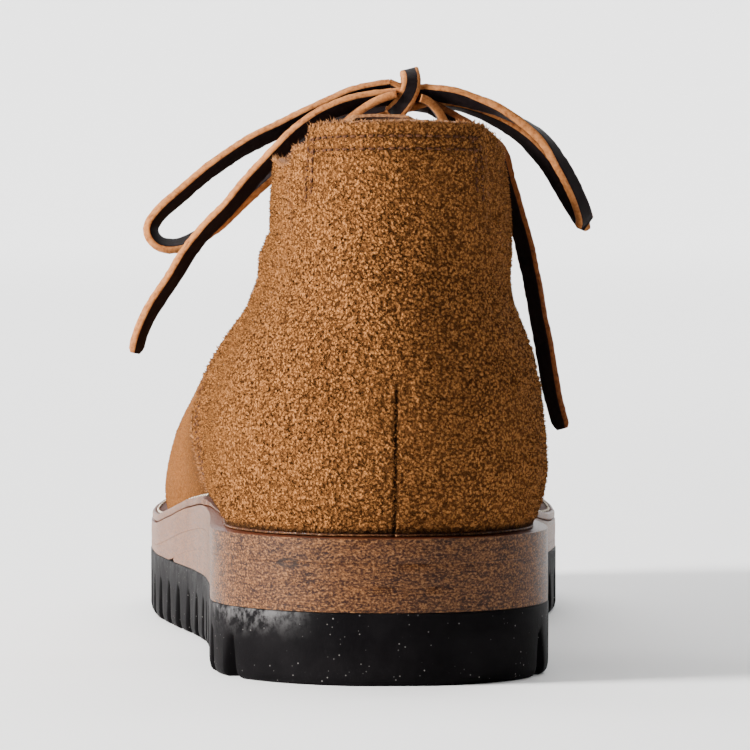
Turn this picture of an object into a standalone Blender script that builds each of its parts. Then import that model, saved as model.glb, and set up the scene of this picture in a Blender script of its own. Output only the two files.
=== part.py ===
"""An ankle-high derby work boot with a leather wedge midsole and a rubber ripple outsole: the left one.

The boot stands on the floor, z = 0. Its heel is at -Y, its toe at +Y, its outer side at -X.
Tables and functions work in millimetres from the back of the heel, and the meshes are in metres.
"""

import math

import bpy
import bmesh
from mathutils import Vector

MM = 0.001

# ---- driving sizes, mm ----
SOLE_LENGTH = 302.0
FLOOR_TO_RUBBER_TOP = 16.5
BALL_AT = 205.0
TOE_SPRING = 10.0
TOE_ROUND = 90.0
HEEL_ROUND = 42.0
LEATHER = 2.2
GAP = 0.3
FLANGE_THICK = 2.0
THROAT_AT = 171.0
FACING_FOOT_AT = 166.0
THROAT_ANGLE = 82.0
FACING_TOP_AT = 84.5
SEAM_BACK_TOP = 64.0
COLLAR_FRONT_AT = 112.0

# How square the plan is round the heel and the toe, and how the toe box closes down.
HEEL_SQUARE = 2.05
TOE_SQUARE = 2.2
TOE_BOX_IN = 3.5
TOE_BOX_DEPTH = 25.0
TOE_BOX_SQUARE = 2.4
# Half widths of the sole either side of its centre line, which swings towards the outside at the heel.
SOLE_PLAN = {
    "y": (0, 45, 78, 105, 130, 160, 190, 212, 250, 302),
    "outer": (39.5, 39.4, 39.0, 39.7, 42.6, 48.2, 52.4, 53.2, 51.0, 46.0),
    "inner": (39.5, 39.5, 36.2, 33.6, 35.0, 42.2, 50.4, 53.2, 54.0, 52.0),
    "centre": (0, -1.8, -1.5, -1.2, -0.8, -0.4, 0, 0.2, 0.8, 1.5),
}
# Height of the midsole's top above the floor, before the toe spring.
MIDSOLE_TOP = {
    "y": (0, 60, 112, 138, 165, 190, 215, 302),
    "z": (33.5, 33.5, 33.7, 31.6, 27.4, 24.3, 23.7, 24.0),
}
# The foot part of the last: its ridge above the feather line, and how square its sections are.
FOOT_FORM = {
    "y": (0, 45, 75, 100, 125, 150, 178, 200, 225, 250, 275, 300),
    "height": (60, 60, 66, 78, 75.5, 67, 56.5, 49.5, 43.5, 38.5, 34.5, 32),
    "rise": (3.4, 3.4, 2.9, 2.3, 2.2, 2.3, 2.4, 2.5, 2.5, 2.5, 2.6, 2.6),
    "outer": (2.0, 1.95, 1.6, 1.45, 1.6, 1.8, 1.95, 2.1, 2.2, 2.3, 2.4, 2.5),
    "inner": (2.0, 2.0, 1.95, 1.9, 1.9, 1.95, 2.0, 2.1, 2.2, 2.3, 2.4, 2.5),
}
# The shaft part of the last: a leaning tube, given level by level above the floor.
SHAFT_FORM = {
    "z": (40, 60, 80, 95, 104, 112, 120, 140),
    "back": (6.0, 3.5, 4.0, 7.5, 9.3, 9.8, 9.4, 8.0),
    "front": (150, 148, 143, 135, 127, 119.5, 113.5, 105),
    "outer": (26.0, 26.5, 27.0, 27.0, 27.0, 26.6, 25.6, 23.5),
    "inner": (27.0, 28.0, 29.0, 29.0, 28.6, 27.8, 26.3, 23.8),
}
SHAFT_SQUARE = 2.4
# The larger of foot and shaft rules firmly round the heel and sides, and softly at the bend of the ankle.
JOIN_POWERS = (7.0, 2.4)
JOIN_SOFTENS_Y = (92.0, 114.0)
JOIN_SOFTENS_Z = (82.0, 96.0)
# The shaft swings this far inwards as it rises, and less towards the toe.
SHAFT_SWING = 3.0
SWING_Z = (55.0, 105.0)
SWING_Y = (130.0, 180.0)
# How far the upper's wall stands in from the sole's edge at its widest, and how much more at its foot.
WALL_FOOT = {
    "y": (0, 60, 100, 128, 302),
    "bulge_in": (1.3, 1.4, 0.7, 3.2, 3.6),
    "tuck": (3.6, 3.6, 3.2, 1.8, 1.7),
    "tuck_height": (17, 17, 16, 10, 10),
    "flange": (0.5, 0.5, 0.7, 4.6, 4.8),
}
# The front edge of the quarters, from the waist up to the throat: place along the boot by section angle.
QUARTER_EDGE = {
    "angle": (0, 4, 9, 15, 22, 40, 60, 82),
    "y": (116, 129, 141, 150, 156, 161, 164.5, 166),
}
# The top line of the collar above the feather line, from the back to the facing.
COLLAR_LINE = {
    "share": (0, 0.10, 0.22, 0.36, 0.55, 0.8, 1.0),
    "height": (94.0, 93.0, 89.5, 86.3, 84.8, 84.3, 84.5),
}
# How far the heel's back leans forward as it rises, at the back seam.
HEEL_LEAN = {
    "z": (34, 58, 75, 95, 110),
    "lean": (0, 0, 2.6, 7.5, 9.5),
}
LEAN_REACH = 75.0
# How far the leather stands out of the last: everywhere, at its doubled edges, and at the strip behind.
QUARTER_PROUD = 0.5
EDGE_PROUD = 1.1
STRIP_PROUD = 0.9
STRIP_FROM = 103.0
STRIP_FADE = 8.0
# The middle line of the instep, from under the vamp up past the collar.
INSTEP_LINE = {
    "share": (0, 0.18, 0.36, 0.54, 0.70, 0.80, 0.90, 1.0),
    "y": (199, 184, 166, 147, 130, 121, 114.5, 109.5),
    "z": (71.5, 77.5, 86, 95, 104.5, 111, 120.5, 136.0),
}
TONGUE_FORM = {
    "share": (0, 0.3, 0.7, 0.88, 0.95, 0.985, 1.0),
    "half": (20, 22, 24.5, 24, 21, 14.5, 8),
}
TONGUE_THICK = 1.8
TONGUE_BELOW = 3.35
TONGUE_SECTIONS = 25
TONGUE_TOP = 0.965

EYELET_PAIRS = 4
EYELET_HALF = 2.3
EYELET_SHARES = (0.43, 0.775)
EYELET_ACROSS = (17.0, 20.5)
# Half width of the throat between the facings, from its foot to the collar, and the shares where it widens.
THROAT_HALF = (7.0, 11.5)
THROAT_SHARES = (0.24, 0.80)
LACE_WIDE = 4.8
LACE_THICK = 2.0
LACE_TUBE = 3.0
LACE_OUT = 5.8
STRAND_BOW = 2.5
KNOT_AT = (9.0, 117.0, 134.9)
KNOT_HALF = (3.6, 4.8, 5.6)
STRAND_BELOW_KNOT = 0.9
# Routes of the free lace, from the knot out.
END_OUTER = (
    (5.0, 114.2, 133.8), (0.0, 113.8, 133.2), (-6.1, 113.4, 131.8), (-11.8, 113.4, 129.4),
    (-18.1, 113.6, 125.2), (-22.9, 113.8, 120.4), (-29.2, 114.2, 113.7), (-34.9, 114.6, 106.9),
    (-40.1, 115.0, 101.6), (-44.7, 115.4, 95.9), (-48.7, 115.8, 89.4), (-53.3, 116.2, 82.6),
    (-56.3, 116.4, 76.6), (-57.9, 116.4, 71.0),
)
LOOP_OUTER = (
    (5.0, 119.4, 136.0), (-3.0, 119.2, 134.6), (-12.0, 119.0, 131.0), (-21.6, 119.0, 126.3),
    (-30.6, 119.0, 121.8), (-39.5, 119.0, 115.8), (-46.4, 119.0, 110.0), (-51.6, 119.0, 105.4),
    (-53.9, 119.0, 101.6), (-52.6, 119.0, 98.4), (-49.4, 119.0, 97.2), (-44.6, 119.0, 98.2),
    (-38.8, 119.0, 102.4), (-32.6, 119.0, 109.2), (-26.6, 119.0, 115.6), (-20.0, 119.1, 121.0),
    (-12.0, 119.3, 125.8), (-4.0, 119.4, 128.9), (4.8, 119.4, 130.9),
)
LOOP_INNER = (
    (13.2, 114.6, 134.9), (19.5, 113.6, 134.2), (25.9, 112.6, 132.4), (32.4, 111.4, 130.0),
    (41.0, 110.0, 124.4), (45.8, 109.2, 117.9), (49.4, 108.8, 111.2), (51.6, 109.6, 105.9),
    (52.2, 111.6, 103.4), (51.3, 114.2, 104.6), (48.2, 116.2, 110.0), (43.4, 117.4, 117.6),
    (37.4, 118.2, 124.2), (30.0, 118.8, 128.8), (22.6, 119.2, 131.6), (13.4, 119.5, 133.0),
)
END_INNER = (
    (14.8, 116.0, 131.4), (19.0, 115.6, 129.0), (23.6, 115.2, 126.2), (28.9, 114.6, 122.8),
    (31.7, 114.0, 119.2), (33.6, 113.6, 112.2), (35.6, 113.2, 105.1), (37.5, 112.8, 97.9),
    (39.4, 112.5, 89.0), (41.0, 112.2, 80.0), (42.7, 112.0, 71.0), (44.2, 111.9, 62.0),
    (45.6, 111.9, 56.6), (46.9, 111.9, 52.4),
)


def read(table, column, at):
    """A table's column read at a place in its first column, on a smooth curve without overshoot."""
    xs = next(iter(table.values()))
    ys = table[column]
    if at <= xs[0]:
        return float(ys[0])
    if at >= xs[-1]:
        return float(ys[-1])
    k = max(i for i in range(len(xs) - 1) if xs[i] <= at)
    slopes = [(ys[i + 1] - ys[i]) / (xs[i + 1] - xs[i]) for i in range(len(xs) - 1)]

    def tangent(i):
        if i == 0 or i == len(xs) - 1:
            return slopes[min(i, len(slopes) - 1)]
        before, after = slopes[i - 1], slopes[i]
        if before * after <= 0:
            return 0.0
        return 2 * before * after / (before + after)

    span = xs[k + 1] - xs[k]
    t = (at - xs[k]) / span
    h00 = (1 + 2 * t) * (1 - t) ** 2
    h10 = t * (1 - t) ** 2
    h01 = t * t * (3 - 2 * t)
    h11 = t * t * (t - 1)
    return h00 * ys[k] + h10 * span * tangent(k) + h01 * ys[k + 1] + h11 * span * tangent(k + 1)


def ease(t):
    t = min(1.0, max(0.0, t))
    return t * t * (3 - 2 * t)


def mix(a, b, t):
    return a + (b - a) * t


def ease_between(value, span):
    """0 below the span and 1 above it, with a soft run between."""
    return ease((value - span[0]) / (span[1] - span[0]))


def round_end(depth, power):
    """Share of the full width at a depth, 0 to 1, in from a rounded end."""
    return (1 - (1 - min(1.0, max(0.0, depth))) ** power) ** (1 / power)


def plan_half(y, side, inset):
    """Half width of the sole's outline at y, drawn in by inset all round."""
    full = read(SOLE_PLAN, side, y) - inset
    heel = round_end((y - inset) / (HEEL_ROUND - inset), HEEL_SQUARE)
    toe = round_end((SOLE_LENGTH - inset - y) / (TOE_ROUND - inset), TOE_SQUARE)
    return full * heel * toe


def centre(y):
    return read(SOLE_PLAN, "centre", y)


def spring(y):
    return TOE_SPRING * max(0.0, (y - BALL_AT) / (SOLE_LENGTH - BALL_AT)) ** 2


def rubber_top(y):
    return FLOOR_TO_RUBBER_TOP + spring(y)


def midsole_top(y):
    return read(MIDSOLE_TOP, "z", y) + spring(y)


def feather(y):
    return midsole_top(y) + GAP


# ---- the last: half width of the boot at a place along it and a height ----

def foot_height(y):
    """Ridge of the foot form above the feather line, closing down at the toe."""
    toe_box = round_end((SOLE_LENGTH - TOE_BOX_IN - y) / TOE_BOX_DEPTH, TOE_BOX_SQUARE)
    return read(FOOT_FORM, "height", y) * toe_box


def wall_inset(y, above):
    """Distance of the wall from the sole's edge at a height above the feather line."""
    low = max(0.0, 1 - above / read(WALL_FOOT, "tuck_height", y))
    return read(WALL_FOOT, "bulge_in", y) + read(WALL_FOOT, "tuck", y) * low ** 2


def foot_half(y, z, side):
    height = foot_height(y)
    above = z - feather(y)
    t = max(0.0, above) / max(height, 1e-6)
    if t >= 1:
        return 0.0
    lean = read(HEEL_LEAN, "lean", z) * max(0.0, 1 - y / LEAN_REACH)
    base = plan_half(y - lean, side, wall_inset(y, above))
    return base * (1 - t ** read(FOOT_FORM, "rise", y)) ** (1 / read(FOOT_FORM, side, y))


def shaft_half(y, z, side):
    back = read(SHAFT_FORM, "back", z)
    front = read(SHAFT_FORM, "front", z)
    place = abs(2 * (y - back) / (front - back) - 1)
    if place >= 1:
        return 0.0
    return read(SHAFT_FORM, side, z) * (1 - place ** SHAFT_SQUARE) ** (1 / SHAFT_SQUARE)


def last_half(y, z, side):
    """Foot and shaft run together: the larger one rules, and the join is softest at the bend."""
    soft = ease_between(y, JOIN_SOFTENS_Y) * ease_between(z, JOIN_SOFTENS_Z)
    power = mix(JOIN_POWERS[0], JOIN_POWERS[1], soft)
    return (foot_half(y, z, side) ** power + shaft_half(y, z, side) ** power) ** (1 / power)


def last_centre(y, z):
    return centre(y) + SHAFT_SWING * ease_between(z, SWING_Z) * (1 - ease_between(y, SWING_Y))


def on_last(y, z, side):
    sign = -1 if side == "outer" else 1
    return Vector((last_centre(y, z) + sign * last_half(y, z, side), y, z))


def solve(function, low, high, target):
    """Where a function that rises from low to high meets the target."""
    for _ in range(34):
        middle = (low + high) / 2
        if function(middle) < target:
            low = middle
        else:
            high = middle
    return (low + high) / 2


# ---- the upper's base surface: a row of columns round the boot, each read from the feather line up ----

SEAM_ROWS = 10
FACING_ROWS = 8
BACK_ANGLES = (0, 15, 31, 49.2, 50.8, 59, 68, 76)
STRIP_COLUMNS = 4
SIDE_SHARES = (0.16, 0.30, 0.44, 0.58, 0.70, 0.80, 0.88, 0.945, 1.0)
VAMP_BLENDS = (0, 0.2, 0.45, 0.72, 1.0)
TOE_ANGLES = (78, 66, 54, 43, 32, 21, 10, 0)
STEP_WIDTH = 0.7
ROW_CROWDING = 1.5


def row_angle(row):
    """Section angle of a row at the seam; the rows crowd towards the feather line."""
    return THROAT_ANGLE * (row / (SEAM_ROWS - 1)) ** ROW_CROWDING


def vamp_point(y, angle, side):
    """A place on the foot form, by its section angle: 0 at the feather line and 90 on the ridge."""
    rise = read(FOOT_FORM, "rise", y)
    z = feather(y) + foot_height(y) * math.sin(math.radians(angle)) ** (2 / rise)
    return on_last(y, z, side)


def toe_point(around, up, side):
    """A place on the vamp ahead of the throat, fanned from the throat down to the feather line."""
    up_r = math.radians(up)
    around_r = math.radians(around)
    ahead = math.cos(around_r) * math.cos(up_r)
    angle = math.degrees(math.atan2(math.sin(up_r), math.sin(around_r) * math.cos(up_r)))
    rise_here = 30 * math.sin(up_r)
    reach = SOLE_LENGTH - wall_inset(SOLE_LENGTH, rise_here) - 0.02
    return vamp_point(THROAT_AT + (reach - THROAT_AT) * ahead, angle, side)


def front_end(row, side):
    """Where a row of the quarter ends: on its seam below, and on its facing edge above."""
    if row < SEAM_ROWS:
        angle = row_angle(row)
        return vamp_point(read(QUARTER_EDGE, "y", angle), angle, side)
    low = vamp_point(FACING_FOOT_AT, THROAT_ANGLE, side)
    share = (row - SEAM_ROWS + 1) / FACING_ROWS
    z = mix(low.z, feather(COLLAR_FRONT_AT) + FACING_TOP_AT, share)
    gap = mix(abs(low.x - last_centre(low.y, low.z)), THROAT_HALF[1], ease(share))
    y = solve(lambda v: -last_half(v, z, side), 60.0, 185.0, -gap)
    return on_last(y, z, side)


def row_height(row, share, front):
    """Height of a row above the feather line, by its share of the way from the heel to its front end."""
    at_front = front.z - feather(front.y)
    if row < SEAM_ROWS:
        at_back = SEAM_BACK_TOP * row / (SEAM_ROWS - 1)
        return mix(at_back, at_front, ease(share))
    up = (row - SEAM_ROWS + 1) / FACING_ROWS
    low = mix(SEAM_BACK_TOP, low_front(), ease(share))
    top = read(COLLAR_LINE, "height", share)
    climb = (at_front - low_front()) / (FACING_TOP_AT - low_front())
    return mix(low, top, mix(up, climb, share))


def low_front():
    """Height of the facing's foot above the feather line."""
    low = vamp_point(FACING_FOOT_AT, THROAT_ANGLE, "outer")
    return low.z - feather(FACING_FOOT_AT)


def back_of(row):
    z = feather(0) + row_height(row, 0.0, front_end(row, "outer"))
    return solve(lambda v: last_half(v, z, "outer"), -2.0, 30.0, 0.02)


def quarter_point(row, side, angle, share, front, back):
    """A place on a quarter: by its angle round the back of the heel, or by its share of the side."""
    reach = math.sin(math.radians(BACK_ANGLES[-1]))

    def height_at(y):
        return feather(y) + row_height(row, (y - back) / (front.y - back), front)

    widest = last_half(50.0, height_at(50.0), side)
    width = math.sin(math.radians(angle)) * widest if share is None else reach * widest
    y = back
    if width > 0.5:
        y = solve(lambda v: last_half(v, height_at(v), side), back, 50.0, width)
    if share is not None:
        y = mix(y, front.y, share)
    if share == 1.0:
        return front
    return on_last(y, height_at(y), side)


def quarter_columns(side):
    """Columns from the back seam to the front edge of one quarter."""
    rows = SEAM_ROWS + FACING_ROWS
    fronts = [front_end(row, side) for row in range(rows)]
    backs = [back_of(row) for row in range(rows)]
    columns = []
    for angle in BACK_ANGLES:
        columns.append([quarter_point(i, side, angle, None, fronts[i], backs[i]) for i in range(rows)])
    for share in SIDE_SHARES:
        columns.append([quarter_point(i, side, 0, share, fronts[i], backs[i]) for i in range(rows)])
    return columns


def vamp_columns(side):
    """Columns from a quarter's seam forward to the middle of the toe."""
    columns = []
    for blend in VAMP_BLENDS:
        column = []
        for row in range(SEAM_ROWS):
            angle = row_angle(row)
            y = mix(read(QUARTER_EDGE, "y", angle) + STEP_WIDTH, THROAT_AT, blend)
            column.append(vamp_point(y, angle, side))
        columns.append(column)
    for around in TOE_ANGLES:
        columns.append([toe_point(around, row_angle(row), side) for row in range(SEAM_ROWS)])
    return columns


def proud_quarter(column, row, point):
    """How far the leather stands out: doubled along the seam and facing, and at the strip behind."""
    if column >= len(BACK_ANGLES):
        share = SIDE_SHARES[column - len(BACK_ANGLES)]
        return QUARTER_PROUD + EDGE_PROUD * ease_between(share, (0.45, 0.9))
    if column < STRIP_COLUMNS:
        return QUARTER_PROUD + STRIP_PROUD * ease((point.z - STRIP_FROM) / STRIP_FADE)
    return QUARTER_PROUD


def upper_columns():
    """Every column round the boot, as (points, proud heights): one quarter, the other, then the vamp."""
    outer_quarter = quarter_columns("outer")
    inner_quarter = quarter_columns("inner")
    outer_vamp = vamp_columns("outer")
    inner_vamp = vamp_columns("inner")
    columns = []
    count = len(outer_quarter)
    for k in range(count - 1, 0, -1):
        columns.append((outer_quarter[k], [proud_quarter(k, i, p) for i, p in enumerate(outer_quarter[k])]))
    for k in range(count):
        columns.append((inner_quarter[k], [proud_quarter(k, i, p) for i, p in enumerate(inner_quarter[k])]))
    for column in inner_vamp:
        columns.append((column, [0.0] * SEAM_ROWS))
    for column in reversed(outer_vamp[:-1]):
        columns.append((column, [0.0] * SEAM_ROWS))
    return columns


def upper_normals(columns):
    """Outward direction at each place of the columns, from its neighbours."""
    count = len(columns)
    normals = []
    for j, (points, _) in enumerate(columns):
        line = []
        for i, point in enumerate(points):
            before = columns[j - 1][0]
            after = columns[(j + 1) % count][0]
            left = before[i] if i < len(before) else point
            right = after[i] if i < len(after) else point
            if (left - right).length < 1.0:
                further = columns[j - 2][0]
                left = further[i] if i < len(further) else left
            up = points[min(i + 1, len(points) - 1)] - points[max(i - 1, 0)]
            normal = (right - left).cross(up)
            if i == 0:
                normal.z = 0.0
            line.append(normal.normalized())
        normals.append(line)
    return normals


# ---- making objects ----

def collection(name):
    new = bpy.data.collections.new(name)
    bpy.context.scene.collection.children.link(new)
    return new


def clear_scene():
    for item in list(bpy.data.objects):
        bpy.data.objects.remove(item, do_unlink=True)


def material(name, colour, roughness):
    made = bpy.data.materials.new(name)
    made.use_nodes = True
    shader = made.node_tree.nodes["Principled BSDF"]
    shader.inputs["Base Color"].default_value = (*colour, 1.0)
    shader.inputs["Roughness"].default_value = roughness
    shader.inputs["Metallic"].default_value = 0.0
    return made


def placed(point):
    """From millimetres behind the heel's back to metres about the middle of the sole."""
    return Vector((point[0] * MM, (point[1] - SOLE_LENGTH / 2) * MM, point[2] * MM))


def add_mesh(name, points, faces, parts, finish):
    mesh = bpy.data.meshes.new(name)
    mesh.from_pydata([placed(p) for p in points], [], faces)
    made = bmesh.new()
    made.from_mesh(mesh)
    bmesh.ops.remove_doubles(made, verts=made.verts, dist=0.00001)
    bmesh.ops.recalc_face_normals(made, faces=made.faces)
    made.to_mesh(mesh)
    made.free()
    mesh.materials.append(finish)
    mesh.shade_smooth()
    mesh.set_sharp_from_angle(angle=math.radians(40))
    thing = bpy.data.objects.new(name, mesh)
    parts.objects.link(thing)
    return thing


def loft(name, sections, parts, finish):
    """A solid through closed sections that all have as many points."""
    size = len(sections[0])
    points = [p for section in sections for p in section]
    faces = [tuple(range(size)), tuple(reversed([len(points) - size + k for k in range(size)]))]
    for a in range(len(sections) - 1):
        for k in range(size):
            here = a * size
            after = here + size
            turn = (k + 1) % size
            faces.append((here + k, after + k, after + turn, here + turn))
    return add_mesh(name, points, faces, parts, finish)


def end_spaced(low, high, count):
    """Places from low to high, closer together at both ends."""
    return [low + (high - low) * (1 - math.cos(math.pi * k / (count - 1))) / 2 for k in range(count)]


def slab(name, stations, inset, bottom, top, parts, finish, shoulder=0.8):
    """A sole layer of the boot's outline, with its top and bottom worked out along its length."""
    sections = []
    for y in stations:
        outer = centre(y) - max(plan_half(y, "outer", inset), SOLE_TIP_HALF)
        inner = centre(y) + max(plan_half(y, "inner", inset), SOLE_TIP_HALF)
        low = bottom(y)
        high = top(y)
        cut = min(shoulder, (high - low) / 4)
        sections.append([
            (outer + cut, y, low), (outer, y, low + cut), (outer, y, high - cut), (outer + cut, y, high),
            (inner - cut, y, high), (inner, y, high - cut), (inner, y, low + cut), (inner - cut, y, low),
        ])
    return loft(name, sections, parts, finish)


# ---- the sole ----

LUG_PITCH = 12.6
LUG_FLAT = 6.4
LUG_HEIGHT = 9.5
# A groove's outline: place across it and height, as shares of its width and of the lug's height.
GROOVE_SHAPE = ((0.0, 0.0), (0.22, 1.0), (0.58, 1.0), (1.0, 0.0))
FIRST_GROOVE = 21.0
LAST_GROOVE = 286.0
HEEL_RUN = 24.0
# The rubber's lower edge: distance in from the side and height above the lug's foot.
LOWER_EDGE = ((1.4, 0.0), (0.2, 1.2), (0.0, 3.0))
TOP_SHEET = 5.6
MIDDLE_SHEET = 5.2
THIN_SHEET = 1.7
WEDGE_TIP = 0.8
SHEET_INSET = 0.2
SHEET_SHOULDER = 0.4
SOLE_TIP = 0.12
SOLE_TIP_HALF = 1.2
INSOLE_CLEAR = 1.0
INSOLE_THICK = 3.0
INSOLE_SHOULDER = 0.5


def ripple_profile():
    """Places along the sole and the height of its underside there: flat lugs with grooves that lean back."""
    profile = [(y, spring(y)) for y in end_spaced(SOLE_TIP, HEEL_RUN, 16)[:-4]]
    groove = FIRST_GROOVE
    while groove < LAST_GROOVE:
        width = LUG_PITCH - LUG_FLAT
        for along, up in GROOVE_SHAPE:
            y = groove + width * along
            profile.append((y, spring(y) + LUG_HEIGHT * up))
        groove += LUG_PITCH
    tail = end_spaced(groove - 2 * LUG_FLAT, SOLE_LENGTH - SOLE_TIP, 16)
    profile += [(y, spring(y)) for y in tail if y > profile[-1][0] + 1.0]
    return profile


def make_outsole(parts, finish):
    profile = ripple_profile()
    sections = []
    for y, low in profile:
        outer = centre(y) - max(plan_half(y, "outer", 0.0), SOLE_TIP_HALF)
        inner = centre(y) + max(plan_half(y, "inner", 0.0), SOLE_TIP_HALF)
        high = rubber_top(y)
        left = [(outer + inset, y, low + rise) for inset, rise in LOWER_EDGE]
        right = [(inner - inset, y, low + rise) for inset, rise in reversed(LOWER_EDGE)]
        sections.append(left + [(outer, y, high), (inner, y, high)] + right)
    return loft("outsole", sections, parts, finish)


def sheet_split(y):
    """Underside of the middle sheet."""
    return max(rubber_top(y) + GAP, midsole_top(y) - TOP_SHEET - MIDDLE_SHEET)


def make_midsoles(parts, finish):
    stations = end_spaced(SOLE_TIP, SOLE_LENGTH - SOLE_TIP, 46)

    def top_low(y):
        return max(midsole_top(y) - TOP_SHEET, rubber_top(y) + THIN_SHEET + 2 * GAP)

    def middle_top(y):
        return top_low(y) - GAP

    def wedge_low(y):
        return rubber_top(y) + GAP

    def wedge_top(y):
        return sheet_split(y) - GAP

    slab("midsole_top", stations, SHEET_INSET, top_low, midsole_top, parts, finish)
    slab("midsole_middle", stations, SHEET_INSET, sheet_split, middle_top, parts, finish, SHEET_SHOULDER)
    end = solve(lambda y: -(sheet_split(y) - rubber_top(y)), 60.0, 200.0, -(2 * GAP + WEDGE_TIP))
    wedge = [y for y in stations if y < end - 3] + [end]
    slab("heel_wedge", wedge, SHEET_INSET, wedge_low, wedge_top, parts, finish, SHEET_SHOULDER)


def insole_top(y):
    return feather(y) + INSOLE_THICK


def make_insole(parts, finish):
    inset = read(WALL_FOOT, "bulge_in", 200) + read(WALL_FOOT, "tuck", 200) + LEATHER + INSOLE_CLEAR
    stations = end_spaced(inset + 0.1, SOLE_LENGTH - inset - 0.1, 34)
    slab("insole", stations, inset, feather, insole_top, parts, finish, INSOLE_SHOULDER)


# ---- the upper ----

def make_upper(parts, finish):
    """One hollow wall of leather, turned out over the sole's edge ahead of the waist."""
    columns = upper_columns()
    normals = upper_normals(columns)
    points = []
    index = {}

    def put(key, place):
        index[key] = len(points)
        points.append(place)

    for j, (line, proud) in enumerate(columns):
        for i, base in enumerate(line):
            out = normals[j][i]
            rise = proud[i]
            lift = Vector((0, 0, FLANGE_THICK + 0.6)) if i == 0 else Vector((0, 0, 0))
            put((j, "out", i), base + out * rise + lift)
            put((j, "in", i), base - out * LEATHER)
        foot = line[0]
        out = normals[j][0]
        reach = read(WALL_FOOT, "flange", foot.y)
        tip = foot + out * (proud[0] + reach)
        low = feather(min(max(tip.y, 0.0), SOLE_LENGTH))
        put((j, "tip", 0), Vector((tip.x, tip.y, low)))
        put((j, "tip", 1), Vector((tip.x, tip.y, low + FLANGE_THICK)))
    faces = []
    count = len(columns)
    for j in range(count):
        k = (j + 1) % count
        rows = min(len(columns[j][0]), len(columns[k][0]))
        for i in range(rows - 1):
            for surface in ("out", "in"):
                corners = ((j, i), (k, i), (k, i + 1), (j, i + 1))
                faces.append([index[column, surface, row] for column, row in corners])
        top = rows - 1
        for low, high in ((("tip", 1), ("out", 0)), (("tip", 0), ("tip", 1)), (("in", 0), ("tip", 0))):
            faces.append([index[j, *low], index[k, *low], index[k, *high], index[j, *high]])
        faces.append([index[j, "out", top], index[k, "out", top], index[k, "in", top], index[j, "in", top]])
    for j in range(count):
        k = (j + 1) % count
        here, there = len(columns[j][0]), len(columns[k][0])
        if here != there:
            tall = j if here > there else k
            for i in range(min(here, there) - 1, max(here, there) - 1):
                rim = (("out", i), ("out", i + 1), ("in", i + 1), ("in", i))
                faces.append([index[tall, surface, row] for surface, row in rim])
    return add_mesh("upper", points, faces, parts, finish)


# ---- the tongue, which lies under the throat ----

def instep_point(share, across):
    """A place on the instep: its share of the way up the throat line and its distance across."""
    place = Vector((0, read(INSTEP_LINE, "y", share), read(INSTEP_LINE, "z", share)))
    low, high = max(0.0, share - 0.03), min(1.0, share + 0.03)
    run = read(INSTEP_LINE, "y", high) - read(INSTEP_LINE, "y", low)
    climb = read(INSTEP_LINE, "z", high) - read(INSTEP_LINE, "z", low)
    down = Vector((0, -climb, run)).normalized()
    side = "outer" if across < 0 else "inner"

    def half(depth):
        return last_half(place.y + down.y * depth, place.z + down.z * depth, side)

    foot = place + down * solve(half, -8.0, 40.0, max(abs(across), 1.5))
    return Vector((last_centre(foot.y, foot.z) + across, foot.y, foot.z))


def instep_out(share, across, out):
    """A place a distance out from the instep, square to it."""
    low, high = max(0.0, share - 0.02), min(1.0, share + 0.02)
    up = instep_point(high, across) - instep_point(low, across)
    over = instep_point(share, across + 2.0) - instep_point(share, across - 2.0)
    return instep_point(share, across) + over.cross(up).normalized() * -out


def make_tongue(parts, finish):
    """A strip of leather bent over the instep, its end rounded above the collar."""
    sections = []
    for k in range(TONGUE_SECTIONS):
        half = read(TONGUE_FORM, "half", k / (TONGUE_SECTIONS - 1))
        share = TONGUE_TOP * k / (TONGUE_SECTIONS - 1)
        places = [mix(-half, half, s / 10) for s in range(11)]
        top = [instep_out(share, x, -TONGUE_BELOW) for x in places]
        under = [instep_out(share, x, -TONGUE_BELOW - TONGUE_THICK) for x in reversed(places)]
        sections.append(top + under)
    return loft("tongue", sections, parts, finish)


# ---- eyelet holes and the lace's crossings ----

def eyelet_share(pair):
    return mix(EYELET_SHARES[0], EYELET_SHARES[1], pair / (EYELET_PAIRS - 1))


def eyelet_across(pair):
    return mix(EYELET_ACROSS[0], EYELET_ACROSS[1], pair / (EYELET_PAIRS - 1))


def throat_half(share):
    return mix(THROAT_HALF[0], THROAT_HALF[1], ease_between(share, THROAT_SHARES))


def punch_eyelets(upper, cutters):
    """Plain punched holes down both facings."""
    made = bmesh.new()
    for pair in range(EYELET_PAIRS):
        for sign in (-1, 1):
            share, across = eyelet_share(pair), sign * eyelet_across(pair)
            inner = placed(instep_out(share, across, -8.0))
            outer = placed(instep_out(share, across, 8.0))
            turn = (outer - inner).to_track_quat("Z", "Y").to_matrix().to_4x4()
            turn.translation = (inner + outer) / 2
            bmesh.ops.create_cone(made, cap_ends=True, segments=10, radius1=EYELET_HALF * MM,
                                  radius2=EYELET_HALF * MM, depth=(outer - inner).length, matrix=turn)
    mesh = bpy.data.meshes.new("eyelet_punch")
    made.to_mesh(mesh)
    made.free()
    punch = bpy.data.objects.new("eyelet_punch", mesh)
    cutters.objects.link(punch)
    punch.hide_render = True
    punch.display_type = "WIRE"
    cut = upper.modifiers.new("eyelets", "BOOLEAN")
    cut.operation = "DIFFERENCE"
    cut.solver = "EXACT"
    cut.object = punch


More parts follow.
